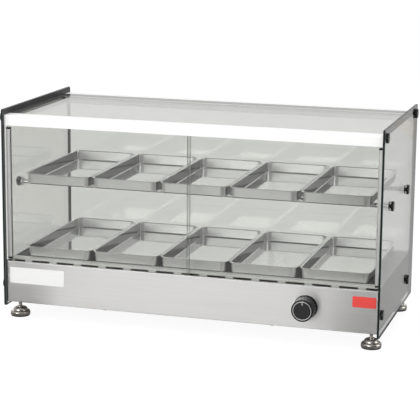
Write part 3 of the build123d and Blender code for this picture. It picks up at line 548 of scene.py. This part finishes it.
def satin_steel(name, colour, roughness, spread=0.06, painted_side_shade=None):
    """Pressed or drawn steel: smooth, with cloudy wear in its gloss and faint waves. Where a painted
    side shade is given, it also has the marks of a pressed tray and its painted dark reflection."""
    material, tree, output = new_material(name)
    shader = principled(tree, colour, roughness, metallic=1.0)
    cloud = stretched_noise(tree, (CLOUD_SCALE, CLOUD_SCALE, CLOUD_SCALE), detail=4.0)
    light = tuple(min(1.0, CLOUD_LIGHT * c) for c in colour)
    dark = tuple(CLOUD_DARK * c for c in colour)
    sheen = mix_colours(tree, cloud, dark, light)
    gloss = map_range(tree, cloud, *NOISE_REACH, roughness - spread, roughness + spread)
    relief = cloud
    if painted_side_shade is not None:
        metal = shader.inputs["Metallic"]
        sheen, gloss, relief = pressed_marks(tree, metal, sheen, gloss, relief, painted_side_shade)
    tree.links.new(sheen, shader.inputs["Base Color"])
    tree.links.new(gloss, shader.inputs["Roughness"])
    add_bump(tree, shader, relief, distance=CLOUD_RELIEF)
    tree.links.new(shader.outputs[0], output.inputs["Surface"])
    return material


def pan_steel(name, painted_side_shade):
    """Steel of the pressed pans, with painted dark reflection on bends and side walls; the side walls
    get more of it in the upper tier.
    """
    return satin_steel(name, PAN_STEEL, PAN_ROUGHNESS, spread=0.015, painted_side_shade=painted_side_shade)


def coating(name, colour, roughness, grain=900.0, depth=0.02, **values):
    """Paint, powder coat, rubber or moulded plastic: a base colour with fine texture."""
    material, tree, output = new_material(name)
    shader = principled(tree, colour, roughness, **values)
    fine = stretched_noise(tree, (grain, grain, grain), detail=2.0)
    light = tuple(min(1.0, FINE_LIGHT * c + FINE_LIFT) for c in colour)
    dark = tuple(FINE_DARK * c for c in colour)
    tree.links.new(mix_colours(tree, fine, dark, light), shader.inputs["Base Color"])
    least = max(LEAST_ROUGHNESS, roughness - FINE_SPREAD)
    gloss = map_range(tree, fine, *NOISE_REACH, least, roughness + FINE_SPREAD)
    tree.links.new(gloss, shader.inputs["Roughness"])
    add_bump(tree, shader, fine, distance=depth * MM)
    tree.links.new(shader.outputs[0], output.inputs["Surface"])
    return material


def inner_border(tree, pane_box):
    """One where the inner face of an end glass carries its printed border: on the face nearer the
    middle of the case, along its top and rear edges, and in a narrower strip along the front."""
    low, high = pane_box
    x, y, z = object_place(tree)
    middle = (abs(low.x) + abs(high.x)) / 2
    inner = math_node(tree, "LESS_THAN", math_node(tree, "ABSOLUTE", x), middle)
    edges = math_node(
        tree, "MAXIMUM",
        math_node(tree, "LESS_THAN", y, low.y + FRONT_BORDER),
        math_node(tree, "GREATER_THAN", y, high.y - BORDER_WIDTH),
        math_node(tree, "GREATER_THAN", z, high.z - BORDER_WIDTH),
    )
    return math_node(tree, "MULTIPLY", inner, edges)


def pane_glass(name, axis, pane_box=None, edge=DARK_EDGE):
    """Flat glass: clear and tinted on its faces, where both reflect by the same Fresnel law, darker on
    its cut edges and pale on its ground arrises. A pane whose box is given has a printed border."""
    material, tree, output = new_material(name)
    facing = math_node(tree, "ABSOLUTE", face_normal(tree)[axis])
    backfacing = add_node(tree, "NewGeometry").outputs["Backfacing"]
    fresnel = add_node(tree, "Fresnel")
    tree.links.new(map_range(tree, backfacing, 0, 1, GLASS_IOR, 1 / GLASS_IOR), fresnel.inputs["IOR"])
    clear = add_node(tree, "BsdfTransparent", Color=(*GLASS_TINT, 1))
    mirror = add_node(tree, "BsdfGlossy", Roughness=0.0, Color=(1, 1, 1, 1))
    pane = mix_shaders(tree, fresnel.outputs[0], clear.outputs[0], mirror.outputs[0])
    if pane_box:
        ink = principled(tree, BORDER_INK, roughness=0.4, Specular_IOR_Level=0.35)
        pane = mix_shaders(tree, inner_border(tree, pane_box), pane, ink.outputs[0])
    cut_edge = principled(tree, edge, roughness=0.3, Specular_IOR_Level=0.25)
    arris = principled(tree, ARRIS, roughness=0.25)
    leaning = math_node(tree, "GREATER_THAN", facing, ARRIS_ABOVE)
    rim = mix_shaders(tree, leaning, cut_edge.outputs[0], arris.outputs[0])
    whole = mix_shaders(tree, math_node(tree, "GREATER_THAN", facing, FACE_ABOVE), rim, pane)
    tree.links.new(whole, output.inputs["Surface"])
    return material


finishes = {
    "white_coated_aluminium": coating("white_powder_coat", (0.87, 0.87, 0.865), 0.38, depth=0.03),
    "brushed_stainless": brushed_stainless("stainless_brushed_lengthwise", "X"),
    "pan_stainless": pan_steel("pan_steel", LOWER_SIDE_SHADE),
    "dark_coated_steel": coating("dark_plate_coat", (0.018, 0.018, 0.019), 0.36, grain=500.0),
    "heater_steel": satin_steel("heater_steel", (0.40, 0.36, 0.32), 0.45),
    "bright_steel": satin_steel("bright_steel", (0.88, 0.88, 0.87), 0.15),
    "nickel_foot": satin_steel("warm_nickel", (0.70, 0.67, 0.63), 0.1),
    "foot_rubber": coating("black_rubber", (0.022, 0.022, 0.022), 0.7, grain=600.0),
    "door_aluminium": satin_steel("anodised_pull", (0.74, 0.74, 0.73), 0.42),
    "black_plastic": coating(
        "gloss_black_plastic", (0.008, 0.008, 0.009), 0.1, depth=0.002, Specular_IOR_Level=0.4
    ),
    "track_plastic": coating("pale_track_plastic", (0.80, 0.80, 0.79), 0.4),
    "thermostat_plastic": coating("ivory_phenolic", (0.62, 0.58, 0.48), 0.5),
}
# Upper pans: a copy of the pan steel whose side walls take the full painted shade
upper_pan_steel_painted_shade = pan_steel("upper_pan_steel_painted_shade", UPPER_SIDE_SHADE)


def dress(piece, material):
    """Put one material on every slot of a piece."""
    if not piece.material_slots:
        piece.data.materials.append(material)
    for slot in piece.material_slots:
        slot.material = material


def dress_cad_nodes():
    """Give each node the finish of its slot, and the panes and some sheets one of their own."""
    slots = {part["node"]: part["material_slot"] for part in frame["record"]["subparts"]}
    for name, node in frame["nodes"].items():
        if slots[name] in finishes:
            dress(node, finishes[slots[name]])
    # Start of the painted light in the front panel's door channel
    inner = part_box("front_panel")[0].y + PAINTED_LIGHT_START
    # Side panels: the same sheet at a share of its colour, as painted shade
    side = brushed_stainless("stainless_brushed_depthwise", "Y", SIDE_PAINTED_SHADE)
    sliding = pane_glass("glass_sliding", "Y", edge=SLIDING_EDGE)
    own = {
        "left_side_panel": side,
        "right_side_panel": side,
        "front_panel": brushed_stainless("stainless_front", "X", inner=inner),
        "left_door_glass": sliding,
        "right_door_glass": sliding,
        "rear_glass": pane_glass("glass_rear", "Y"),
        "top_glass": pane_glass("glass_top", "Z", edge=TOP_EDGE),
        "left_end_glass": pane_glass("glass_left_end_glass", "X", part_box("left_end_glass")),
        "right_end_glass": pane_glass("glass_right_end_glass", "X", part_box("right_end_glass")),
    }
    for name, material in own.items():
        dress(frame["nodes"][name], material)
    return slots


slots = dress_cad_nodes()


def stand_for(piece, body, *nodes):
    """Put a made piece in the place of CAD nodes: it rides on their body and wears their finish."""
    dress(piece, finishes[slots[nodes[0]]])
    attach(piece, body)
    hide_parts(*nodes)


# Pans

def pan_profile(height):
    """Sheet section of a pan as (inset from the rim's edge, height above the rim's top). One arc
    rounds the lip and one the floor; the wall leans between them, and the under side follows the
    upper side at the sheet's thickness, with a half round at the rim's edge."""
    lean = math.degrees(PAN_TAPER)
    inner_foot = PAN_FLOOR_RADIUS - PAN_WALL
    floor_z = -height + PAN_FLOOR_RADIUS

    def wall_inset(z):
        """Inset of the wall's inner face at this height."""
        return PAN_RIM + PAN_WALL - z * math.tan(PAN_TAPER)

    floor_centre = (wall_inset(floor_z) + inner_foot / math.cos(PAN_TAPER), floor_z)
    lip_centre = (wall_inset(-PAN_LIP_RADIUS) - PAN_LIP_RADIUS / math.cos(PAN_TAPER), -PAN_LIP_RADIUS)
    edge_centre = (PAN_WALL / 2, -PAN_WALL / 2)
    start = floor_centre[0] + PAN_FLOOR_START
    upper = np.vstack((
        (start, -height + PAN_WALL),
        arc(floor_centre, inner_foot, 270, 180 + lean, 8),
        arc(lip_centre, PAN_LIP_RADIUS, lean, 90, 6),
    ))
    edge = arc(edge_centre, PAN_WALL / 2, 90, 270, 8)
    under = np.vstack((
        arc(lip_centre, PAN_LIP_RADIUS - PAN_WALL, 90, lean, 5),
        arc(floor_centre, PAN_FLOOR_RADIUS, 180 + lean, 270, 8),
        (start, -height),
    ))
    return np.vstack((upper, edge, under))


def pressed_pan(node):
    """Pressed tray: the section goes round the rim's rounded rectangle, pulled in by its inset, so
    every corner radius is the rim's less the inset, down to a least radius. More rings on the floor
    shrink on to its middle."""
    low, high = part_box(node)
    centre = (low + high) / 2
    half_x, half_y = (high.x - low.x) / 2, (high.y - low.y) / 2
    profile = pan_profile(high.z - low.z)
    count = len(PAN_FLOOR_RINGS)
    inside = np.column_stack((PAN_FLOOR_RINGS, np.full(count, profile[0, 1])))
    outside = np.column_stack((PAN_FLOOR_RINGS[::-1], np.full(count, profile[-1, 1])))
    rings = []
    for inset, height in np.vstack((inside, profile, outside)):
        corner = max(PAN_CORNER - inset, PAN_LEAST_CORNER)
        outline = rounded_rectangle(half_x - inset, half_y - inset, corner)
        level = np.full(len(outline), high.z + height)
        rings.append(np.column_stack((outline + (centre.x, centre.y), level)))
    piece = skin(node + "_pressed", np.array(rings))
    stand_for(piece, node, node)
    # Upper pans wear the copy with more painted shade
    if node.startswith("upper"):
        dress(piece, upper_pan_steel_painted_shade)


for tier in ("upper", "lower"):
    for number in range(1, 6):
        pressed_pan(f"{tier}_pan_{number}")


# Knob, ring and bezel

def grip_radius(angle):
    """Reach of the grips: the near side of a circle of the grip radius, centred so far out that it
    bites the grip depth into the knob's edge, and repeated round the knob; beyond the circles there
    is no limit."""
    low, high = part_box("thermostat_knob")
    centre = (high.x - low.x) / 2 - GRIP_DEPTH + GRIP_RADIUS
    pitch = 2 * math.pi / GRIP_COUNT
    offset = (angle + pitch / 2) % pitch - pitch / 2
    inside = GRIP_RADIUS ** 2 - (centre * np.sin(offset)) ** 2
    reach = centre * np.cos(offset) - np.sqrt(np.maximum(inside, 0))
    return np.where(inside > 0, reach, np.inf)


def knob_profile(radius, length, recess):
    """Half section of the knob as (radius, height) from its foot to the middle of its face: a rounded
    foot, a side that tapers to a rounded edge, and a shallow dished recess of the given radius."""
    lean = math.degrees(KNOB_TAPER)
    face_radius = radius - length * math.tan(KNOB_TAPER)
    grip_foot = radius - GRIP_START * math.tan(KNOB_TAPER)
    edge_centre = (face_radius - KNOB_EDGE, length - KNOB_EDGE)
    foot_centre = (radius - KNOB_FOOT_EDGE, KNOB_FOOT_EDGE)
    bevel_out, bevel_down = KNOB_RECESS_BEVEL
    floor = length - KNOB_RECESS
    return np.vstack((
        (KNOB_BORE, 0),
        (foot_centre[0] - KNOB_FOOT_SUPPORT, 0),
        arc(foot_centre, KNOB_FOOT_EDGE, -90, lean, 4),
        (grip_foot, GRIP_START),
        (grip_foot, GRIP_START + GRIP_STEP),
        arc(edge_centre, KNOB_EDGE, lean, 90, 6),
        (recess + bevel_out, length),
        (recess, length - bevel_down),
        (recess, floor),
        (recess * KNOB_DISH_SHARE, floor - KNOB_DISH / 2),
        (KNOB_CENTRE, floor - KNOB_DISH),
    ))


def moulded_knob():
    """Knob: its profile turned about the axis, with the radius held below the reach of the grips
    from their start to the face."""
    low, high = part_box("thermostat_knob")
    centre_x, centre_z = (low.x + high.x) / 2, (low.z + high.z) / 2
    ring_low, ring_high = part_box("knob_ring")
    recess = (ring_high.x - ring_low.x) / 2
    profile = knob_profile((high.x - low.x) / 2, high.y - low.y, recess)
    angle = np.linspace(0, 2 * math.pi, GRIP_COUNT * GRIP_POINTS, endpoint=False)
    turned_radius, height = profile.T[:, :, None]
    gripped = (height > GRIP_START) & (turned_radius > recess + GRIP_CLEARANCE)
    reach = np.where(gripped, np.minimum(turned_radius, grip_radius(angle)), turned_radius)
    rings = np.stack((
        centre_x + reach * np.cos(angle),
        np.broadcast_to(high.y - height, reach.shape),
        centre_z + reach * np.sin(angle),
    ), axis=-1)
    stand_for(skin("knob_moulding", rings), "knob", "thermostat_knob")


def knob_trim():
    """Bright ring and pointer in the knob's face: a ring of rounded section, and a bar with rounded
    corners, drawn in at its face, from the ring towards the middle."""
    low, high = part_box("knob_ring")
    centre = Vector(((low.x + high.x) / 2, high.y, (low.z + high.z) / 2))
    outer = (high.x - low.x) / 2
    depth = high.y - low.y
    inner = outer - RING_WIDTH
    section = np.vstack((
        arc((outer - RING_EDGE, depth - RING_EDGE), RING_EDGE, 0, 90, 3),
        arc((inner + RING_EDGE, depth - RING_EDGE), RING_EDGE, 90, 180, 3),
        (inner, 2 * SEAT),
        (outer, 2 * SEAT),
    ))
    ring = turned("ring", section, centre, (0, -1, 0), around=96, looped=True)
    half_width, half_length = POINTER_WIDTH / 2, POINTER_LENGTH / 2
    outline = rounded_rectangle(half_width, half_length, POINTER_CORNER, steps=4, support=0.01 * MM)
    middle_z = centre.z + outer - RING_WIDTH / 2 - half_length
    levels = ((1.0, high.y), (1.0, low.y + POINTER_BEVEL), (POINTER_TIP_SHARE, low.y))
    rings = [np.column_stack((
        centre.x + outline[:, 0] * share,
        np.full(len(outline), y),
        middle_z + outline[:, 1] * (1 - (1 - share) * POINTER_WIDTH / POINTER_LENGTH),
    )) for share, y in levels]
    pointer = skin("pointer", np.array(rings))
    stand_for(joined("knob_ring_and_pointer", [ring, pointer]), "knob", "knob_ring")


def knob_base():
    """Bezel behind the knob: a flat ring with a rounded outer edge, turned about the knob's axis."""
    low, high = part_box("knob_bezel")
    centre = Vector(((low.x + high.x) / 2, high.y, (low.z + high.z) / 2))
    radius, depth = (high.x - low.x) / 2, high.y - low.y
    section = np.vstack((
        (BEZEL_BORE, 0),
        (radius, 0),
        arc((radius - BEZEL_EDGE, depth - BEZEL_EDGE), BEZEL_EDGE, 0, 90, 5),
        (BEZEL_BORE, depth),
    ))
    piece = turned("knob_base_ring", section, centre, (0, -1, 0), around=72, looped=True)
    stand_for(piece, "case", "knob_bezel")


moulded_knob()
knob_trim()
knob_base()


# Feet

def foot_profile(rim_z, radius):
    """Half section of a foot from its rim up: an upright band, a full shoulder, a step, a dome to the
    crown, a collar, and the threaded stem, whose thread is a cosine wave on its radius."""
    shoulder = (radius - FOOT_SHOULDER[0], rim_z + FOOT_SHOULDER[1])
    shoulder_foot = (radius - FOOT_GROOVE[0], rim_z + FOOT_GROOVE[1])
    crown = (FOOT_CROWN[0], rim_z + FOOT_CROWN[1])
    crown_foot = (shoulder[0] - FOOT_STEP[0], shoulder[1] + FOOT_STEP[1])
    collar_top = rim_z + FOOT_COLLAR + FOOT_COLLAR_EDGE
    stem_height = np.linspace(collar_top, rim_z + STEM_TOP, STEM_RINGS)
    wave = np.cos(2 * math.pi * stem_height / THREAD_PITCH)
    return np.vstack((
        (radius - FOOT_UNDERSIDE, rim_z),
        arc((radius - FOOT_EDGE, rim_z + FOOT_EDGE), FOOT_EDGE, -90, 0, 4),
        (radius, rim_z + FOOT_BAND),
        bulge(shoulder_foot, shoulder, -FOOT_SHOULDER_FULLNESS, 12),
        bulge(crown_foot, crown, -FOOT_CROWN_FULLNESS, 14),
        (crown[0], rim_z + FOOT_COLLAR),
        (crown[0] - FOOT_COLLAR_EDGE, collar_top),
        np.column_stack((STEM_RADIUS - THREAD_DEPTH + THREAD_DEPTH * wave, stem_height)),
    ))


def levelling_foot(corner):
    """Turned bell and stem over a turned rubber pad."""
    low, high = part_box(f"{corner}_foot")
    centre = Vector(((low.x + high.x) / 2, (low.y + high.y) / 2, 0))
    profile = foot_profile(low.z, (high.x - low.x) / 2)
    profile = profile[profile[:, 1] <= high.z]
    stand_for(turned(f"{corner}_foot_bell", profile, centre, (0, 0, 1), around=56),
              f"{corner}_foot_body", f"{corner}_foot")
    low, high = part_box(f"{corner}_foot_pad")
    corner_radius, top = (high.x - low.x) / 2 - PAD_EDGE, high.z - SEAT
    pad = np.vstack((
        arc((corner_radius, PAD_EDGE), PAD_EDGE, -90, 0, 4),
        arc((corner_radius, top - PAD_EDGE), PAD_EDGE, 0, 90, 4),
    ))
    stand_for(turned(f"{corner}_foot_tread", pad, centre, (0, 0, 1), around=56),
              f"{corner}_foot_body", f"{corner}_foot_pad")


for corner in ("front_left", "front_right", "rear_left", "rear_right"):
    levelling_foot(corner)


# Caps, rods and washers on the end glasses

def islands(node):
    """Middle, low corner and high corner of each separate solid of a CAD node. The solids are small
    and stand well apart, so one solid is every point within reach of its first one."""
    mesh = frame["nodes"][node].data
    points = np.empty(len(mesh.vertices) * 3)
    mesh.vertices.foreach_get("co", points)
    points = points.reshape(-1, 3)
    found = []
    while len(points):
        near = np.linalg.norm(points - points[0], axis=1) < ISLAND_REACH
        group = points[near]
        found.append(((group.min(0) + group.max(0)) / 2, group.min(0), group.max(0)))
        points = points[~near]
    return found


def cap_domes():
    """Glossy caps over the fixing screws: a straight skirt, a quarter round at the edge, and a crown
    that rises to the middle as one less the square of the share of the radius."""
    caps = []
    for middle, low, high in islands("screw_caps"):
        radius = (high[1] - low[1]) / 2
        depth = high[0] - low[0]
        side = 1 if middle[0] > 0 else -1
        foot = (low[0] if side > 0 else high[0], middle[1], middle[2])
        edge_radius, edge_height = radius - CAP_EDGE, depth - CAP_CROWN - CAP_EDGE
        angle = np.radians(np.linspace(0, 90, 7))
        shoulder = np.column_stack((
            edge_radius + CAP_EDGE * np.cos(angle),
            edge_height + CAP_EDGE * np.sin(angle),
        ))
        share = np.linspace(*CAP_CROWN_SHARES)
        top = np.column_stack((edge_radius * share, depth - CAP_CROWN * share ** 2))
        skirt = ((radius - CAP_SKIRT[0], SEAT), (radius, CAP_SKIRT[1]))
        profile = np.vstack((skirt, shoulder, top))
        caps.append(turned("cap", profile, foot, (side, 0, 0), around=40))
    stand_for(joined("domed_screw_caps", caps), "case", "screw_caps")


def polished_rods():
    """Shelf bars: straight round bars with a chamfer at each end."""
    for name in ("front_shelf_rod", "rear_shelf_rod"):
        low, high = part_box(name)
        radius, length = (high.z - low.z) / 2, high.x - low.x
        foot = (low.x, (low.y + high.y) / 2, (low.z + high.z) / 2)
        spots = np.linspace(ROD_CHAMFER, length - ROD_CHAMFER, 12)
        body = np.column_stack((np.full(len(spots), radius), spots))
        end_radius = radius - ROD_CHAMFER
        profile = np.vstack(((end_radius, 0), body, (end_radius, length)))
        stand_for(turned(name + "_bar", profile, foot, (1, 0, 0), around=40), "case", name)


def bar_washers():
    """Washers between the bars and the glass: rings with rounded outer edges."""
    rings = []
    for middle, low, high in islands("rod_washers"):
        edge_radius = (high[1] - low[1]) / 2 - WASHER_EDGE
        depth = high[0] - low[0]
        section = np.vstack((
            (WASHER_BORE, 0),
            arc((edge_radius, WASHER_EDGE), WASHER_EDGE, -90, 0, 3),
            arc((edge_radius, depth - WASHER_EDGE), WASHER_EDGE, 0, 90, 3),
            (WASHER_BORE, depth),
        ))
        foot = (low[0], middle[1], middle[2])
        rings.append(turned("washer", section, foot, (1, 0, 0), looped=True))
    stand_for(joined("rounded_rod_washers", rings), "case", "rod_washers")


cap_domes()
polished_rods()
bar_washers()


# Bare plate and bare film

def bare_plate(name, edges, material):
    """Thin blank with rounded corners on the face of the front panel: its outline is repeated at the
    panel, near the front and, drawn in a little, at the front, so its edge is soft."""
    left, right, bottom, top = edges
    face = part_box("front_panel")[0].y
    half_width, half_height = (right - left) / 2, (top - bottom) / 2
    outline = rounded_rectangle(half_width, half_height, PLATE_CORNER, steps=6, support=1 * MM)
    centre = np.array(((left + right) / 2, (bottom + top) / 2))
    rings = []
    for share, draw in ((0, 0), (0.7, 0), (1, PLATE_BEVEL)):
        x, z = (outline - np.sign(outline) * draw + centre).T
        rings.append(np.column_stack((x, np.full(len(x), face - share * PLATE_THICKNESS), z)))
    piece = skin(name, np.array(rings))
    dress(piece, material)
    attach(piece, "case")


bare_plate("bare_white_plate", WHITE_PLATE, coating("white_film", (0.80, 0.80, 0.79), 0.4))
bare_plate("bare_red_film", RED_FILM, coating("red_film", (0.72, 0.055, 0.045), 0.4))


# Stage: floor, world, lights and camera

def mirrored_floor(tree, x, y):
    """Level of the floor in mirrors, and the share of its left end. It is lit in a broad pool in front
    of the object and dim at both ends: the line from the viewer's mirror place to a floor point
    crosses the front panel at u = vx + (x - vx) (vy - fy) / (vy - y), and the level depends on u. The
    left end reaches only so far forward. Behind the panel's face the level is even, and below the
    case the floor lies in its shade."""
    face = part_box("front_panel")[0].y
    viewer_x, viewer_y = CAMERA_PLACE.x, 2 * face - CAMERA_PLACE.y
    reach = math_node(tree, "DIVIDE", viewer_y - face, math_node(tree, "SUBTRACT", viewer_y, y))
    across = math_node(tree, "MULTIPLY", math_node(tree, "SUBTRACT", x, viewer_x), reach)
    across = math_node(tree, "ADD", across, viewer_x)
    near = math_node(tree, "GREATER_THAN", y, FLOOR_NEAR)
    left_end = math_node(tree, "MULTIPLY", near, map_range(tree, across, *FLOOR_LEFT_END, 1.0, 0.0))
    right_end = map_range(tree, across, *FLOOR_RIGHT_END, 0.0, 1.0)
    ends = math_node(tree, "MAXIMUM", left_end, right_end)
    pool = map_range(tree, ends, 0, 1, FLOOR_POOL, FLOOR_ENDS)
    open_floor = mix_numbers(tree, math_node(tree, "GREATER_THAN", y, face), pool, FLOOR_BEHIND)
    half_x, half_y = FLOOR_SHADE_HALF
    below = math_node(
        tree, "MULTIPLY",
        math_node(tree, "LESS_THAN", math_node(tree, "ABSOLUTE", x), half_x),
        math_node(tree, "LESS_THAN", math_node(tree, "ABSOLUTE", y), half_y),
    )
    lit = math_node(tree, "SUBTRACT", 1.0, math_node(tree, "MULTIPLY", below, FLOOR_SHADE))
    return math_node(tree, "MULTIPLY", open_floor, lit), left_end


def floor_material():
    """Pale floor: mostly even white for the camera, mirrors and glass, so that it meets the white
    background, with enough plain matt white in it to keep the object's shadow. In mirrors it has a
    level of its own, warmer at its left end."""
    material, tree, output = new_material("pale_floor")
    matt = add_node(tree, "BsdfDiffuse", Color=(*FLOOR_MATT, 1))
    even = add_node(tree, "Emission", Color=(1, 1, 1, 1))
    rays = add_node(tree, "LightPath")
    place = object_place(tree)
    mirrored, left_end = mirrored_floor(tree, place["X"], place["Y"])
    glossy = rays.outputs["Is Glossy Ray"]
    tree.links.new(mix_numbers(tree, glossy, FLOOR_WHITE, mirrored), even.inputs["Strength"])
    warm = math_node(tree, "MULTIPLY", left_end, glossy)
    tree.links.new(mix_colours(tree, warm, (1, 1, 1), FLOOR_WARM), even.inputs["Color"])
    camera, through = rays.outputs["Is Camera Ray"], rays.outputs["Is Transmission Ray"]
    seen = math_node(tree, "MAXIMUM", camera, glossy, through)
    share = math_node(tree, "MULTIPLY", seen, FLOOR_EVEN_SHARE)
    tree.links.new(mix_shaders(tree, share, matt.outputs[0], even.outputs[0]), output.inputs["Surface"])
    return material


def lay_floor():
    """Round floor under the feet, a flat fan of its rim."""
    angle = np.linspace(0, 2 * math.pi, 96, endpoint=False)
    rim = FLOOR_REACH * np.column_stack((np.cos(angle), np.sin(angle), np.zeros(len(angle))))
    mesh = bpy.data.meshes.new("floor")
    mesh.from_pydata(rim.tolist(), [], [list(range(len(rim)))])
    mesh.materials.append(floor_material())
    floor = bpy.data.objects.new("floor", mesh)
    scene.collection.objects.link(floor)


def room_walls(tree, heading, y, z):
    """Level of the mirrored room's walls: the ramp of its headings, and on top of it the window high
    up behind the object and the card in front of it, both with soft edges."""
    ramp = add_node(tree, "ValToRGB")
    tree.links.new(map_range(tree, heading, -math.pi, math.pi, 0, 1), ramp.inputs["Fac"])
    stops = ramp.color_ramp.elements
    while len(stops) > 1:
        stops.remove(stops[-1])
    for number, (degrees, level) in enumerate(ROOM):
        turn = (degrees + 180) / 360
        stop = stops[0] if number == 0 else stops.new(turn)
        stop.position = turn
        stop.color = (level / ROOM_TOP, level / ROOM_TOP, level / ROOM_TOP, 1)
    window = math_node(
        tree, "MULTIPLY",
        map_range(tree, y, *WINDOW_DEPTHS, 0, 1),
        map_range(tree, z, *WINDOW_HEIGHTS, 0, WINDOW),
    )
    west, full, past, east = np.radians(CARD_HEADINGS).tolist()
    low, bright, fading, high = CARD_HEIGHTS
    card = math_node(
        tree, "MULTIPLY",
        map_range(tree, heading, west, full, 0, CARD),
        map_range(tree, heading, past, east, 1, 0),
        map_range(tree, z, low, bright, 0, 1),
        map_range(tree, z, fading, high, 1, 0),
    )
    level = math_node(tree, "MULTIPLY", ramp.outputs["Color"], ROOM_TOP)
    return math_node(tree, "ADD", level, window, card)


def light_world():
    """White for the camera and through glass, and a plain soft level for matt surfaces. Mirrors see a
    room: its walls near the horizon, and an even ceiling above."""
    world = bpy.data.worlds.new("studio")
    world.use_nodes = True
    tree = world.node_tree
    tree.nodes.clear()
    output = tree.nodes.new("ShaderNodeOutputWorld")
    rays = add_node(tree, "LightPath").outputs
    direction = add_node(tree, "SeparateXYZ")
    tree.links.new(add_node(tree, "TexCoord").outputs["Generated"], direction.inputs[0])
    x, y, z = direction.outputs
    walls = room_walls(tree, math_node(tree, "ARCTAN2", x, y), y, z)
    mirrored = mix_numbers(tree, map_range(tree, z, *CEILING_RISE, 0.0, 1.0), walls, CEILING)
    matt = map_range(tree, y, *MATT_DEPTHS, MATT_AHEAD, MATT_BEHIND)
    strength = mix_numbers(tree, rays["Is Glossy Ray"], matt, mirrored)
    strength = math_node(tree, "MAXIMUM", strength, rays["Is Camera Ray"], rays["Is Transmission Ray"])
    background = add_node(tree, "Background", Color=(1, 1, 1, 1))
    tree.links.new(strength, background.inputs["Strength"])
    tree.links.new(background.outputs[0], output.inputs["Surface"])
    scene.world = world


def soft_lamp(name, place, size, power):
    """Large soft lamp aimed at the case, for matt surfaces alone: mirrors see the room instead."""
    lamp = bpy.data.lights.new(name, "AREA")
    lamp.shape = "RECTANGLE"
    lamp.size, lamp.size_y = size
    lamp.energy = power
    holder = bpy.data.objects.new(name, lamp)
    holder.location = place
    aim = Vector(LAMP_TARGET) - Vector(place)
    holder.rotation_euler = aim.to_track_quat("-Z", "Y").to_euler()
    holder.visible_glossy = False
    scene.collection.objects.link(holder)


def place_camera():
    """Camera from its fitted place, yaw, pitch and roll."""
    forward = Vector((-math.sin(CAMERA_YAW) * math.cos(CAMERA_PITCH),
                      math.cos(CAMERA_YAW) * math.cos(CAMERA_PITCH),
                      -math.sin(CAMERA_PITCH)))
    level = Vector((math.cos(CAMERA_YAW), math.sin(CAMERA_YAW), 0))
    upright = level.cross(forward)
    right = math.cos(CAMERA_ROLL) * level + math.sin(CAMERA_ROLL) * upright
    up = math.cos(CAMERA_ROLL) * upright - math.sin(CAMERA_ROLL) * level
    data = bpy.data.cameras.new("camera")
    data.lens = CAMERA_LENS
    data.sensor_width = CAMERA_SENSOR
    camera = bpy.data.objects.new("camera", data)
    turn = Matrix((right, up, -forward)).transposed().to_4x4()
    camera.matrix_world = Matrix.Translation(CAMERA_PLACE) @ turn
    scene.collection.objects.link(camera)
    scene.camera = camera


lay_floor()
light_world()
for lamp in LAMPS:
    soft_lamp(*lamp)
place_camera()
scene.view_settings.view_transform = "Standard"
